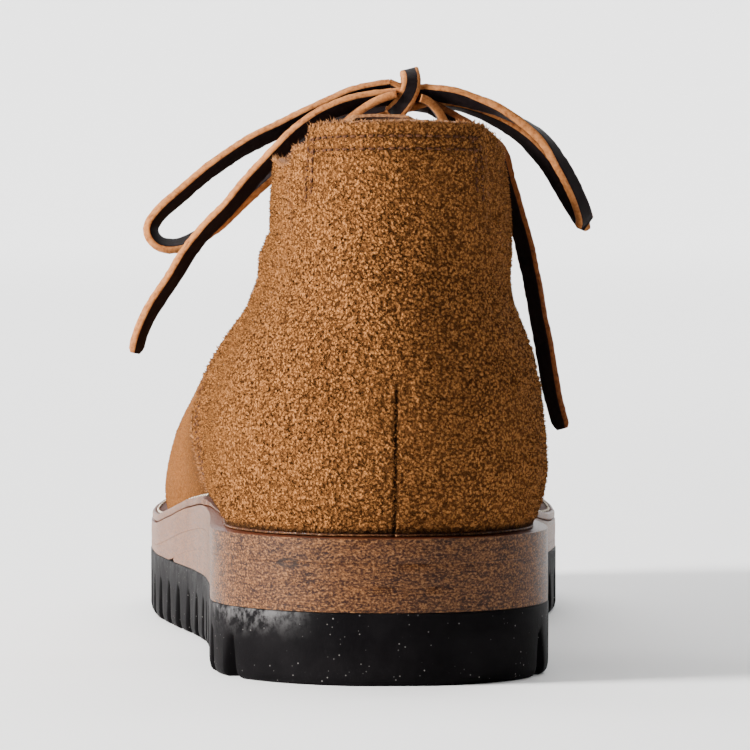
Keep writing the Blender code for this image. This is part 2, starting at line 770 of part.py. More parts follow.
def lace_run(start, end, lift):
    """A flat lace from one eyelet to another over the throat, as (middle, outward) pairs."""
    run = []
    for share_across in (0, 0.10, 0.22, 0.36, 0.5, 0.64, 0.78, 0.90, 1):
        share = mix(start[0], end[0], share_across)
        across = mix(start[1], end[1], share_across)
        edge = throat_half(share) + 1.0
        out = LACE_OUT + lift * (1 - abs(2 * share_across - 1))
        if abs(across) < edge:
            left = instep_out(share, -edge, out)
            right = instep_out(share, edge, out)
            middle = left.lerp(right, (across + edge) / (2 * edge))
        else:
            middle = instep_out(share, across, out)
        outward = instep_out(share, across, 5.0) - instep_out(share, across, 0.0)
        run.append((middle, outward.normalized()))
    return run


def strap(name, run, width, thick, parts, finish):
    """A flat strip along a run of places, each with its outward direction."""
    sections = []
    for k, (middle, out) in enumerate(run):
        before = run[max(k - 1, 0)][0]
        after = run[min(k + 1, len(run) - 1)][0]
        across = (after - before).cross(out).normalized()
        face = across.cross(after - before).normalized()
        sections.append([
            middle + across * width / 2 - face * thick / 2, middle + across * width / 2 + face * thick / 2,
            middle - across * width / 2 + face * thick / 2, middle - across * width / 2 - face * thick / 2,
        ])
    return loft(name, sections, parts, finish)


def join(things):
    """Fuse solids that cross into one body."""
    first = things[0]
    for other in things[1:]:
        union = first.modifiers.new("join", "BOOLEAN")
        union.operation = "UNION"
        union.solver = "EXACT"
        union.object = other
        bpy.context.view_layer.update()
        graph = bpy.context.evaluated_depsgraph_get()
        fused = bpy.data.meshes.new_from_object(first.evaluated_get(graph))
        first.modifiers.clear()
        first.data = fused
        bpy.data.objects.remove(other, do_unlink=True)
    return first


def make_lace_bars(parts, finish):
    """The lace over the tongue: a straight bar below, crossings above, and two strands up to the knot."""
    runs = [lace_run((eyelet_share(0), -eyelet_across(0)), (eyelet_share(0), eyelet_across(0)), 0.0)]
    for pair in range(EYELET_PAIRS - 1):
        low = (eyelet_share(pair), eyelet_across(pair))
        high = (eyelet_share(pair + 1), eyelet_across(pair + 1))
        for sign, lift in ((-1, 0.0), (1, 1.4)):
            runs.append(lace_run((low[0], sign * low[1]), (high[0], -sign * high[1]), lift))
    share = eyelet_share(EYELET_PAIRS - 1)
    for sign in (-1, 1):
        across = sign * eyelet_across(EYELET_PAIRS - 1)
        start = instep_out(share, across, LACE_OUT + 0.4)
        outward = (start - instep_out(share, across, 0.0)).normalized()
        end = Vector(KNOT_AT) + Vector((sign * 2.6, 0.0, -KNOT_HALF[2] - STRAND_BELOW_KNOT))
        run = []
        for climb in (0.0, 0.2, 0.4, 0.6, 0.8, 1.0):
            bow = STRAND_BOW * 4 * climb * (1 - climb)
            facing = outward.lerp(Vector((0, 0.8, 0.6)), climb).normalized()
            run.append((start.lerp(end, climb) + facing * bow, facing))
        runs.append(run)
    straps = []
    for k, run in enumerate(runs):
        straps.append(strap(f"lace_bars_{k}", run, LACE_WIDE, LACE_THICK, parts, finish))
    bars = join(straps)
    bars.name = "lace_bars"
    return bars


# ---- the free lace: knot, two loops and two ends ----

def smooth_route(route, step):
    """Places a step apart on a smooth curve through the route's own points."""
    points = [Vector(p) for p in route]
    fine = []
    for k in range(len(points) - 1):
        before = points[max(k - 1, 0)]
        after = points[min(k + 2, len(points) - 1)]
        here, there = points[k], points[k + 1]
        for part in range(24):
            t = part / 24
            fine.append(0.5 * (2 * here + (there - before) * t
                               + (2 * before - 5 * here + 4 * there - after) * t * t
                               + (3 * here - before - 3 * there + after) * t ** 3))
    fine.append(points[-1])
    total = sum((fine[k + 1] - fine[k]).length for k in range(len(fine) - 1))
    count = max(3, round(total / step))
    kept, walked = [fine[0]], 0.0
    for k in range(len(fine) - 1):
        walked += (fine[k + 1] - fine[k]).length
        if walked >= total * len(kept) / count and len(kept) < count:
            kept.append(fine[k + 1])
    kept.append(fine[-1])
    return kept


def make_cord(name, route, parts, finish):
    curve = bpy.data.curves.new(name, "CURVE")
    curve.dimensions = "3D"
    curve.bevel_depth = LACE_TUBE / 2 * MM
    curve.bevel_resolution = 2
    curve.use_fill_caps = True
    spline = curve.splines.new("POLY")
    places = [placed(p) for p in smooth_route(route, 9.0)]
    spline.points.add(len(places) - 1)
    for point, place in zip(spline.points, places):
        point.co = (*place, 1.0)
    curve.materials.append(finish)
    thing = bpy.data.objects.new(name, curve)
    parts.objects.link(thing)
    return thing


def make_knot(parts, finish):
    made = bmesh.new()
    bmesh.ops.create_uvsphere(made, u_segments=14, v_segments=8, radius=1.0)
    bmesh.ops.scale(made, vec=[v * MM for v in KNOT_HALF], verts=made.verts)
    bmesh.ops.translate(made, vec=placed(KNOT_AT), verts=made.verts)
    mesh = bpy.data.meshes.new("lace_knot")
    made.to_mesh(mesh)
    made.free()
    mesh.materials.append(finish)
    mesh.shade_smooth()
    thing = bpy.data.objects.new("lace_knot", mesh)
    parts.objects.link(thing)
    return thing


def main():
    clear_scene()
    parts = collection("work_boot")
    cutters = collection("cutters")
    rubber = material("black_rubber", (0.010, 0.010, 0.011), 0.62)
    lace = material("lace_leather", (0.045, 0.02, 0.018), 0.55)
    stacked = material("midsole_leather", (0.26, 0.115, 0.045), 0.6)
    suede = material("upper_suede", (0.43, 0.19, 0.055), 0.95)
    lining = material("insole_leather", (0.20, 0.09, 0.035), 0.8)
    make_outsole(parts, rubber)
    make_midsoles(parts, stacked)
    make_insole(parts, lining)
    upper = make_upper(parts, suede)
    punch_eyelets(upper, cutters)
    make_tongue(parts, suede)
    make_lace_bars(parts, lace)
    make_knot(parts, lace)
    make_cord("lace_end_outer", END_OUTER, parts, lace)
    make_cord("lace_loop_outer", LOOP_OUTER, parts, lace)
    make_cord("lace_loop_inner", LOOP_INNER, parts, lace)
    make_cord("lace_end_inner", END_INNER, parts, lace)


main()
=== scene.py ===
"""Looks of the left work boot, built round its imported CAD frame.

Tables and functions work in millimetres from the back of the heel, as the part's own source
does, and the meshes are in metres: heel at -Y, toe at +Y, outer side at -X, floor at z = 0.
"""

import math

import bpy
import numpy as np
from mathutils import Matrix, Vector, noise


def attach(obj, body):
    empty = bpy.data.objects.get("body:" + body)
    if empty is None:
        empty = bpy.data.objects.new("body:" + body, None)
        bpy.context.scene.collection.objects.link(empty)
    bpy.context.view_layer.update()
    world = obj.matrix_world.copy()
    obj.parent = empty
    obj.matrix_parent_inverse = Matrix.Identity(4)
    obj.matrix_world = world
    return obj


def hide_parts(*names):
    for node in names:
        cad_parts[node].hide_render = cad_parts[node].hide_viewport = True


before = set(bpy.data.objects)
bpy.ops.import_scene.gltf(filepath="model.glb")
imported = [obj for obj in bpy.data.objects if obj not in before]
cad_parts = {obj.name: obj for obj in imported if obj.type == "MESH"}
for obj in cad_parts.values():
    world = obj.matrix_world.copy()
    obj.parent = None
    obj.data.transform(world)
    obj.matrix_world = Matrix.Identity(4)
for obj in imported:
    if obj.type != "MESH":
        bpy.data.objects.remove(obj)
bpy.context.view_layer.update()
rng = np.random.default_rng(7)

MM = 0.001

# ---- the boot's own sizes, as in its source ----
SOLE_LENGTH = 302.0
FLOOR_TO_RUBBER_TOP = 16.5
BALL_AT = 205.0
TOE_SPRING = 10.0
TOE_ROUND = 90.0
TOE_POWER = 2.2
HEEL_ROUND = 42.0
HEEL_POWER = 2.05
TOE_BOX_FROM_END = 3.5
TOE_BOX_ROUND = 25.0
TOE_BOX_POWER = 2.4
LEATHER = 2.2
GAP = 0.3
FLANGE_THICK = 2.0
THROAT_AT = 171.0
FACING_FOOT_AT = 166.0
THROAT_ANGLE = 82.0
FACING_TOP_AT = 84.5
FACING_TOP_Y = 112
FACING_TOP_HALF = 11.5
SEAM_HEIGHT_BEHIND = 64.0
SEAM_TOP = 9.0
FACING_SPAN = 8.0
BACK_REACH = 76.0
WIDEST_HEEL_AT = 50.0
STEP_WIDTH = 0.7
ROW_CROWDING = 1.5
STRIP_FROM = 103.0
STRIP_FADE = 8.0
TONGUE_TOP = 0.972

SOLE_PLAN = {
    "y": (0, 45, 78, 105, 130, 160, 190, 212, 250, 302),
    "outer": (39.5, 39.4, 39.0, 39.7, 42.6, 48.2, 52.4, 53.2, 51.0, 46.0),
    "inner": (39.5, 39.5, 36.2, 33.6, 35.0, 42.2, 50.4, 53.2, 54.0, 52.0),
    "centre": (0, -1.8, -1.5, -1.2, -0.8, -0.4, 0, 0.2, 0.8, 1.5),
}
MIDSOLE_TOP = {
    "y": (0, 60, 112, 138, 165, 190, 215, 302),
    "z": (33.5, 33.5, 33.7, 31.6, 27.4, 24.3, 23.7, 24.0),
}
FOOT_FORM = {
    "y": (0, 45, 75, 100, 125, 150, 178, 200, 225, 250, 275, 300),
    "height": (60, 60, 66, 78, 75.5, 67, 56.5, 49.5, 43.5, 38.5, 34.5, 32),
    "rise": (3.4, 3.4, 2.9, 2.3, 2.2, 2.3, 2.4, 2.5, 2.5, 2.5, 2.6, 2.6),
    "outer": (2.0, 1.95, 1.6, 1.45, 1.6, 1.8, 1.95, 2.1, 2.2, 2.3, 2.4, 2.5),
    "inner": (2.0, 2.0, 1.95, 1.9, 1.9, 1.95, 2.0, 2.1, 2.2, 2.3, 2.4, 2.5),
}
SHAFT_FORM = {
    "z": (40, 60, 80, 95, 104, 112, 120, 140),
    "back": (6.0, 3.5, 4.0, 7.5, 9.3, 9.8, 9.4, 8.0),
    "front": (150, 148, 143, 135, 127, 119.5, 113.5, 105),
    "outer": (26.0, 26.5, 27.0, 27.0, 27.0, 26.6, 25.6, 23.5),
    "inner": (27.0, 28.0, 29.0, 29.0, 28.6, 27.8, 26.3, 23.8),
}
JOIN_POWERS = (7.0, 2.4)
JOIN_SOFTENS_Y = (92.0, 114.0)
JOIN_SOFTENS_Z = (82.0, 96.0)
SHAFT_POWER = 2.4
SHAFT_SHIFT = 3.0
SHAFT_SHIFT_STARTS_Z = (55, 105)
SHAFT_SHIFT_ENDS_Y = (130, 180)
HEEL_LEAN_ENDS_Y = 75.0
WALL_FOOT = {
    "y": (0, 60, 100, 128, 302),
    "bulge_in": (1.3, 1.4, 0.7, 3.2, 3.6),
    "tuck": (3.6, 3.6, 3.2, 1.8, 1.7),
    "tuck_height": (17, 17, 16, 10, 10),
    "flange": (0.5, 0.5, 0.7, 4.6, 4.8),
}
QUARTER_EDGE = {
    "angle": (0, 4, 9, 15, 22, 40, 60, 82),
    "y": (116, 129, 141, 150, 156, 161, 164.5, 166),
}
COLLAR_LINE = {
    "share": (0, 0.10, 0.22, 0.36, 0.55, 0.8, 1.0),
    "height": (94.0, 93.0, 89.5, 86.3, 84.8, 84.3, 84.5),
}
HEEL_LEAN = {
    "z": (34, 58, 75, 95, 110),
    "lean": (0, 0, 2.6, 7.5, 9.5),
}
INSTEP_LINE = {
    "share": (0, 0.18, 0.36, 0.54, 0.70, 0.80, 0.90, 1.0),
    "y": (199, 184, 166, 147, 130, 121, 114.5, 109.5),
    "z": (71.5, 77.5, 86, 95, 104.5, 111, 120.5, 136.0),
}
TONGUE_FORM = {
    "share": (0, 0.3, 0.7, 0.88, 0.95, 0.985, 1.0),
    "half": (20, 22, 24.5, 24, 21, 14.5, 8),
}
TONGUE_BELOW = 3.35
TONGUE_THICK = 1.8
EYELET_PAIRS = 4
EYELET_HALF = 2.3
EYELET_SHARES = (0.43, 0.775)
EYELET_ACROSS = (17.0, 20.5)
LACE_WIDE = 4.8
LACE_THICK = 2.0
LACE_OVER = 2.9
KNOT_AT = (9.0, 117.0, 134.9)

# The free lace: where each part's middle runs, from the knot out.
ROUTES = {"lace_end_outer": (
    (5.0, 114.2, 133.8), (0.0, 113.8, 133.2), (-6.1, 113.4, 131.8), (-11.8, 113.4, 129.4),
    (-18.1, 113.6, 125.2), (-22.9, 113.8, 120.4), (-29.2, 114.2, 113.7), (-34.9, 114.6, 106.9),
    (-40.1, 115.0, 101.6), (-44.7, 115.4, 95.9), (-48.7, 115.8, 89.4), (-53.3, 116.2, 82.6),
    (-56.3, 116.4, 76.6), (-57.9, 116.4, 71.0),
), "lace_loop_outer": (
    (5.0, 119.4, 136.0), (-3.0, 119.2, 134.6), (-12.0, 119.0, 131.0), (-21.6, 119.0, 126.3),
    (-30.6, 119.0, 121.8), (-39.5, 119.0, 115.8), (-46.4, 119.0, 110.0), (-51.6, 119.0, 105.4),
    (-53.9, 119.0, 101.6), (-52.6, 119.0, 98.4), (-49.4, 119.0, 97.2), (-44.6, 119.0, 98.2),
    (-38.4, 119.0, 102.0), (-31.7, 119.0, 108.3), (-25.2, 119.0, 114.3), (-18.4, 119.1, 119.8),
    (-11.0, 119.3, 124.8), (-3.8, 119.4, 128.4), (4.8, 119.4, 130.9),
), "lace_loop_inner": (
    (13.2, 114.6, 134.9), (19.5, 113.6, 134.2), (25.9, 112.6, 132.4), (32.4, 111.4, 130.0),
    (41.0, 110.0, 124.4), (45.8, 109.2, 117.9), (49.4, 108.8, 111.2), (51.6, 109.6, 105.9),
    (52.2, 111.6, 103.4), (51.3, 114.2, 104.6), (48.2, 116.2, 110.0), (43.4, 117.4, 117.6),
    (37.4, 118.2, 124.2), (30.0, 118.8, 128.8), (22.6, 119.2, 131.6), (13.4, 119.5, 133.0),
), "lace_end_inner": (
    (14.8, 116.0, 131.4), (19.0, 115.6, 129.0), (23.6, 115.2, 126.2), (28.9, 114.6, 122.8),
    (31.7, 114.0, 119.2), (33.6, 113.6, 112.2), (35.6, 113.2, 105.1), (37.5, 112.8, 97.9),
    (39.4, 112.5, 89.0), (41.0, 112.2, 80.0), (42.7, 112.0, 71.0), (44.2, 111.9, 62.0),
    (45.6, 111.9, 56.6), (46.9, 111.9, 52.4),
)}
# How each part is turned: the degrees its face is rolled towards the inside of the bend, by share
# of its route.
ROLL = {
    "lace_end_outer": ((0, 46), (0.15, 46), (0.7, 42), (1, 32)),
    "lace_loop_outer": ((0, 50), (0.25, 46), (0.45, 34), (0.6, 28), (0.8, 44), (1, 34)),
    "lace_loop_inner": ((0, -46), (0.10, -42), (0.24, 8), (0.36, 42), (0.5, 48), (0.62, 50),
                        (0.8, 30), (1, 4)),
    "lace_end_inner": ((0, -30), (0.25, -48), (0.7, -54), (1, -46)),
}
# Where the back strip's edges lie by turn, and how the collar steps down on the outer side.
STRIP_EDGE = {"outer": 0.800, "inner": 0.560}
COLLAR_STEP = {
    "turn": (0, 0.30, 0.62, 0.655, 0.670, 0.69, 0.795, 0.806, 0.95, 1.25, 2.0),
    "drop": (0, 0, -0.4, -0.4, 2.3, 2.7, 2.0, 4.6, 3.7, 0.0, 0.0),
}

SIGN = {"outer": -1, "inner": 1}
HALVINGS = 34


# ---- the camera, first ----

CAMERA_AT = (-0.0693, -1.4499, 0.127)
CAMERA_AIM = (-0.0012, -0.08, 0.0675)
CAMERA_LENS = 277.0


def new_object(name, data):
    thing = bpy.data.objects.new(name, data)
    bpy.context.scene.collection.objects.link(thing)
    return thing


def facing(place, aim):
    """The rotation of a camera or lamp at one place that looks at another."""
    return (Vector(aim) - Vector(place)).to_track_quat("-Z", "Y").to_euler()


def make_camera():
    """Behind the boot and a little to its outer side, as the picture is taken."""
    data = bpy.data.cameras.new("camera")
    camera = new_object("camera", data)
    camera.location = CAMERA_AT
    camera.rotation_euler = facing(CAMERA_AT, CAMERA_AIM)
    data.sensor_width = 36.0
    data.lens = CAMERA_LENS
    data.clip_start = 0.05
    data.clip_end = 20.0
    bpy.context.scene.camera = camera


# ---- curves read from the tables, for whole arrays of places ----

def read(table, column, at):
    """Values of a table's column on a smooth curve without overshoot."""
    keys = list(table.values())
    xs = np.asarray(keys[0], float)
    ys = np.asarray(table[column], float)
    at = np.asarray(at, float)
    slopes = np.diff(ys) / np.diff(xs)
    tangents = np.empty(len(xs))
    tangents[0] = slopes[0]
    tangents[-1] = slopes[-1]
    product = slopes[:-1] * slopes[1:]
    total = slopes[:-1] + slopes[1:]
    tangents[1:-1] = np.where(product > 0, 2 * product / np.where(total == 0, 1, total), 0.0)
    k = np.clip(np.searchsorted(xs, at, side="right") - 1, 0, len(xs) - 2)
    span = xs[k + 1] - xs[k]
    t = np.clip((at - xs[k]) / span, 0, 1)
    h00 = (1 + 2 * t) * (1 - t) ** 2
    h10 = t * (1 - t) ** 2
    h01 = t * t * (3 - 2 * t)
    h11 = t * t * (t - 1)
    return h00 * ys[k] + h10 * span * tangents[k] + h01 * ys[k + 1] + h11 * span * tangents[k + 1]


def ease(t):
    t = np.clip(t, 0, 1)
    return t * t * (3 - 2 * t)


def ease_between(value, span):
    return ease((value - span[0]) / (span[1] - span[0]))


def mix(a, b, t):
    return a + (b - a) * t


def round_end(depth, power):
    return (1 - (1 - np.clip(depth, 0, 1)) ** power) ** (1 / power)


def plan_half(y, side, inset):
    full = read(SOLE_PLAN, side, y) - inset
    heel = round_end((y - inset) / (HEEL_ROUND - inset), HEEL_POWER)
    toe = round_end((SOLE_LENGTH - inset - y) / (TOE_ROUND - inset), TOE_POWER)
    return full * heel * toe


def centre(y):
    return read(SOLE_PLAN, "centre", y)


def spring(y):
    past_ball = (np.asarray(y, float) - BALL_AT) / (SOLE_LENGTH - BALL_AT)
    return TOE_SPRING * np.maximum(0.0, past_ball) ** 2


def rubber_top(y):
    return FLOOR_TO_RUBBER_TOP + spring(y)


def midsole_top(y):
    return read(MIDSOLE_TOP, "z", y) + spring(y)


def feather(y):
    return midsole_top(y) + GAP


def foot_height(y):
    toe_box = round_end((SOLE_LENGTH - TOE_BOX_FROM_END - y) / TOE_BOX_ROUND, TOE_BOX_POWER)
    return read(FOOT_FORM, "height", y) * toe_box


def wall_inset(y, above):
    low = np.maximum(0.0, 1 - above / read(WALL_FOOT, "tuck_height", y))
    return read(WALL_FOOT, "bulge_in", y) + read(WALL_FOOT, "tuck", y) * low ** 2


def foot_half(y, z, side):
    height = foot_height(y)
    above = z - feather(y)
    t = np.clip(above / np.maximum(height, 1e-6), 0, 1)
    lean = read(HEEL_LEAN, "lean", z) * np.maximum(0.0, 1 - y / HEEL_LEAN_ENDS_Y)
    base = plan_half(y - lean, side, wall_inset(y, above))
    return base * (1 - t ** read(FOOT_FORM, "rise", y)) ** (1 / read(FOOT_FORM, side, y))


def shaft_half(y, z, side):
    back = read(SHAFT_FORM, "back", z)
    front = read(SHAFT_FORM, "front", z)
    place = np.clip(np.abs(2 * (y - back) / (front - back) - 1), 0, 1)
    return read(SHAFT_FORM, side, z) * (1 - place ** SHAFT_POWER) ** (1 / SHAFT_POWER)


def last_half(y, z, side):
    soft = ease_between(y, JOIN_SOFTENS_Y) * ease_between(z, JOIN_SOFTENS_Z)
    power = mix(JOIN_POWERS[0], JOIN_POWERS[1], soft)
    return (foot_half(y, z, side) ** power + shaft_half(y, z, side) ** power) ** (1 / power)


def last_centre(y, z):
    up, ahead = ease_between(z, SHAFT_SHIFT_STARTS_Z), ease_between(y, SHAFT_SHIFT_ENDS_Y)
    return centre(y) + SHAFT_SHIFT * up * (1 - ahead)


def on_last(y, z, side):
    y, z = np.broadcast_arrays(np.asarray(y, float), np.asarray(z, float))
    return np.stack([last_centre(y, z) + SIGN[side] * last_half(y, z, side), y, z], axis=-1)


def solve(function, low, high, target):
    """Where a function that rises from low to high meets the target."""
    target = np.asarray(target, float)
    low = np.broadcast_to(np.asarray(low, float), target.shape).copy()
    high = np.broadcast_to(np.asarray(high, float), target.shape).copy()
    for _ in range(HALVINGS):
        middle = (low + high) / 2
        short = function(middle) < target
        low = np.where(short, middle, low)
        high = np.where(short, high, middle)
    return (low + high) / 2


# ---- places on the upper: a quarter by turn round the heel, the vamp by turn round the toe ----

def vamp_point(y, angle, side):
    rise = read(FOOT_FORM, "rise", y)
    z = feather(y) + foot_height(y) * np.sin(np.radians(angle)) ** (2 / rise)
    return on_last(y, z, side)


LOW_CORNER = {side: vamp_point(np.array(FACING_FOOT_AT), THROAT_ANGLE, side) for side in SIGN}
LOW_FRONT = float(LOW_CORNER["outer"][2] - feather(FACING_FOOT_AT))


def front_end(row, side):
    """Where a row of the quarter ends: on its seam below, and on its facing edge above."""
    angle = THROAT_ANGLE * (np.minimum(row, SEAM_TOP) / SEAM_TOP) ** ROW_CROWDING
    on_seam = vamp_point(read(QUARTER_EDGE, "y", angle), angle, side)
    low = LOW_CORNER[side]
    share = np.clip((row - SEAM_TOP) / FACING_SPAN, 0, 1)
    z = mix(low[2], feather(FACING_TOP_Y) + FACING_TOP_AT, share)
    gap = mix(abs(low[0] - last_centre(low[1], low[2])), FACING_TOP_HALF, ease(share))
    y = solve(lambda v: -last_half(v, z, side), 60.0, 185.0, -gap)
    on_face = on_last(y, z, side)
    return np.where((row <= SEAM_TOP)[..., None], on_seam, on_face)


def row_height(row, share, front):
    at_front = front[..., 2] - feather(front[..., 1])
    seam = mix(SEAM_HEIGHT_BEHIND * row / SEAM_TOP, at_front, ease(share))
    up = (row - SEAM_TOP) / FACING_SPAN
    low = mix(SEAM_HEIGHT_BEHIND, LOW_FRONT, ease(share))
    top = read(COLLAR_LINE, "height", share)
    climb = (at_front - LOW_FRONT) / (FACING_TOP_AT - LOW_FRONT)
    return np.where(row <= SEAM_TOP, seam, mix(low, top, mix(up, climb, share)))


def back_of(row):
    front = front_end(row, "outer")
    z = feather(0) + row_height(row, np.zeros_like(row), front)
    return solve(lambda v: last_half(v, z, "outer"), -2.0, 30.0, np.full(row.shape, 0.02))


def quarter(side, turn, row):
    """Places on a quarter. Turn 0 to 1 goes round the back of the heel, 1 to 2 along the side
    to the front edge."""
    turn, row = np.broadcast_arrays(np.asarray(turn, float), np.asarray(row, float))
    front = front_end(row, side)
    back = back_of(row)
    drop = 0.0
    if side == "outer":
        above_seam = np.clip((row - SEAM_TOP) / FACING_SPAN, 0, 1)
        drop = np.interp(turn, COLLAR_STEP["turn"], COLLAR_STEP["drop"]) * above_seam ** 2

    def height_at(y):
        share = (y - back) / (front[..., 1] - back)
        return feather(y) + row_height(row, share, front) - drop

    widest_at = np.full(row.shape, WIDEST_HEEL_AT)
    widest = last_half(widest_at, height_at(widest_at), side)
    angle = np.radians(BACK_REACH * np.clip(turn, 0, 1))
    width = np.maximum(np.sin(angle) * widest, 0.02)
    y = solve(lambda v: last_half(v, height_at(v), side), back, WIDEST_HEEL_AT, width)
    share = np.clip(turn - 1, 0, 1)
    y = mix(y, front[..., 1], share)
    place = on_last(y, height_at(y), side)
    return np.where((share >= 1)[..., None], front, place)


def vamp(side, turn, row):
    """Places on the vamp. Turn 0 to 1 leads from the quarter's seam to the throat, 1 to 2 round
    to the middle of the toe."""
    turn, row = np.broadcast_arrays(np.asarray(turn, float), np.asarray(row, float))
    up = THROAT_ANGLE * (row / SEAM_TOP) ** ROW_CROWDING
    y = mix(read(QUARTER_EDGE, "y", up) + STEP_WIDTH, THROAT_AT, np.clip(turn, 0, 1))
    beside = vamp_point(y, up, side)
    around = np.radians(90 * (2 - np.clip(turn, 1, 2)))
    up_r = np.radians(up)
    ahead = np.cos(around) * np.cos(up_r)
    angle = np.degrees(np.arctan2(np.sin(up_r), np.sin(around) * np.cos(up_r)))
    reach = SOLE_LENGTH - wall_inset(SOLE_LENGTH, 30 * np.sin(up_r)) - 0.02
    fanned = vamp_point(THROAT_AT + (reach - THROAT_AT) * ahead, angle, side)
    return np.where((turn <= 1)[..., None], beside, fanned)


# ---- places on the instep, under the tongue and lace ----

def instep_point(share, across):
    """A place on the instep: its share of the way up the throat line and its distance across."""
    share, across = np.broadcast_arrays(np.asarray(share, float), np.asarray(across, float))
    y0, z0 = read(INSTEP_LINE, "y", share), read(INSTEP_LINE, "z", share)
    low, high = np.maximum(0.0, share - 0.03), np.minimum(1.0, share + 0.03)
    run = read(INSTEP_LINE, "y", high) - read(INSTEP_LINE, "y", low)
    climb = read(INSTEP_LINE, "z", high) - read(INSTEP_LINE, "z", low)
    size = np.hypot(run, climb)
    down_y, down_z = -climb / size, run / size

    def half(depth):
        y, z = y0 + down_y * depth, z0 + down_z * depth
        return np.where(across < 0, last_half(y, z, "outer"), last_half(y, z, "inner"))

    depth = solve(half, -8.0, 40.0, np.maximum(np.abs(across), 1.5))
    y, z = y0 + down_y * depth, z0 + down_z * depth
    return np.stack([last_centre(y, z) + across, y, z], axis=-1)


def instep_out(share, across, out):
    """Places over the instep, and the directions straight out of it."""
    share, across = np.broadcast_arrays(np.asarray(share, float), np.asarray(across, float))
    low, high = np.maximum(0.0, share - 0.02), np.minimum(1.0, share + 0.02)
    up = instep_point(high, across) - instep_point(low, across)
    over = instep_point(share, across + 2.0) - instep_point(share, across - 2.0)
    normal = -np.cross(over, up)
    normal /= np.linalg.norm(normal, axis=-1, keepdims=True)
    return instep_point(share, across) + normal * np.asarray(out, float)[..., None], normal


def instep_spot(share, across, out):
    """One place over the instep, and the direction there."""
    place, normal = instep_out(np.array([share]), np.array([across]), np.array([out]))
    return place[0], normal[0]


# ---- making meshes ----

def placed(points):
    points = np.asarray(points, float).reshape(-1, 3)
    return (points - np.array([0.0, SOLE_LENGTH / 2, 0.0])) * MM


def add_mesh(name, points, faces, materials, which=None, sharp=None):
    """An object from places in millimetres, riding on the boot's one body."""
    mesh = bpy.data.meshes.new(name)
    mesh.from_pydata(placed(points).tolist(), [], [list(map(int, face)) for face in faces])
    for material in materials:
        mesh.materials.append(material)
    if which is not None:
        mesh.polygons.foreach_set("material_index", np.asarray(which, np.int32))
    mesh.validate()
    mesh.shade_smooth()
    if sharp is not None:
        mesh.set_sharp_from_angle(angle=math.radians(sharp))
    thing = new_object(name, mesh)
    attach(thing, "root")
    return thing


# What the rough leather's look reads at each place.
# the second mark is painted shade: in grooves, along stitches, beside edges and above the ledge
MARKS = ("raw_edge", "painted_shade", "smooth_side")


def put_marks(thing, **marks):
    """The marks given, and nought for the others."""
    nought = np.zeros(len(thing.data.vertices))
    for name in MARKS:
        attribute = thing.data.attributes.new(name, "FLOAT", "POINT")
        attribute.data.foreach_set("value", np.asarray(marks.get(name, nought), np.float32))


def grid_faces(rows, columns, start=0, turned=False):
    """Quads over a grid of rows by columns whose places follow each other row by row."""
    r, c = np.meshgrid(np.arange(rows - 1), np.arange(columns - 1), indexing="ij")
    a = (r * columns + c + start).ravel()
    quads = np.stack([a, a + 1, a + columns + 1, a + columns], axis=1)
    return quads[:, ::-1] if turned else quads


def tube_faces(rings, size, capped=True):
    """Quads round a run of rings of places, and a face over each end."""
    faces = []
    for k in range(rings - 1):
        for s in range(size):
            n = (s + 1) % size
            faces.append((k * size + s, (k + 1) * size + s, (k + 1) * size + n, k * size + n))
    if capped:
        faces.append(tuple(range(size)))
        faces.append(tuple((rings - 1) * size + s for s in reversed(range(size))))
    return faces


def fuzz(points, size, scale, seed):
    """Noise at each place, about -size to size, with lumps of the given length in mm."""
    out = [noise.noise(Vector((x / scale + seed, y / scale, z / scale)))
           for x, y, z in points.reshape(-1, 3)]
    return np.reshape(out, points.shape[:-1]) * size * 1.6


# ---- the lace: a flat strip, dark on its faces and tan on its cut edges ----

def smooth_route(route, step):
    """Places a step apart on a smooth curve through the route's own points."""
    points = np.asarray(route, float)
    fine = []
    for k in range(len(points) - 1):
        before = points[max(k - 1, 0)]
        after = points[min(k + 2, len(points) - 1)]
        here, there = points[k], points[k + 1]
        for part in range(24):
            t = part / 24
            fine.append(0.5 * (2 * here + (there - before) * t
                               + (2 * before - 5 * here + 4 * there - after) * t * t
                               + (3 * here - before - 3 * there + after) * t ** 3))
    fine.append(points[-1])
    return evenly(np.array(fine), step)


def walked_along(line):
    """How far along a line each of its places lies."""
    return np.concatenate([[0], np.cumsum(np.linalg.norm(np.diff(line, axis=0), axis=1))])


def at_along(at, walked, values):
    """Places or directions read at distances along a line."""
    return np.stack([np.interp(at, walked, values[:, k]) for k in range(3)], axis=-1)


def evenly(line, step):
    """A line's places respaced to even steps."""
    walked = walked_along(line)
    count = max(3, int(round(walked[-1] / step)))
    return at_along(np.linspace(0, walked[-1], count + 1), walked, line)


def relax(line, times):
    """Softens a line's bends in place, with its ends kept."""
    for _ in range(times):
        line[1:-1] = line[1:-1] * 0.5 + (line[:-2] + line[2:]) * 0.25


def line_length(line):
    return float(np.linalg.norm(np.diff(line, axis=0), axis=1).sum())


def unit(v):
    return v / np.maximum(np.linalg.norm(v, axis=-1, keepdims=True), 1e-9)


def square_to(v, along):
    """Directions v turned square to the directions along."""
    return unit(v - along * (v * along).sum(1, keepdims=True))


def section(wide, thick):
    """A strip's cross-section: a broad face, a cut edge, a broad face, a cut edge, with soft
    corners."""
    w, t, b = wide / 2, thick / 2, 0.38
    crown = w * 0.58
    return [(-w + b, t), (-crown, t + 0.07), (crown, t + 0.07), (w - b, t),
            (w - 0.1, t - b * 0.7), (w, 0.0), (w - 0.1, -t + b * 0.7),
            (w - b, -t), (crown, -t - 0.03), (-crown, -t - 0.03), (-w + b, -t),
            (-w + 0.1, -t + b * 0.7), (-w, 0.0), (-w + 0.1, t - b * 0.7)]


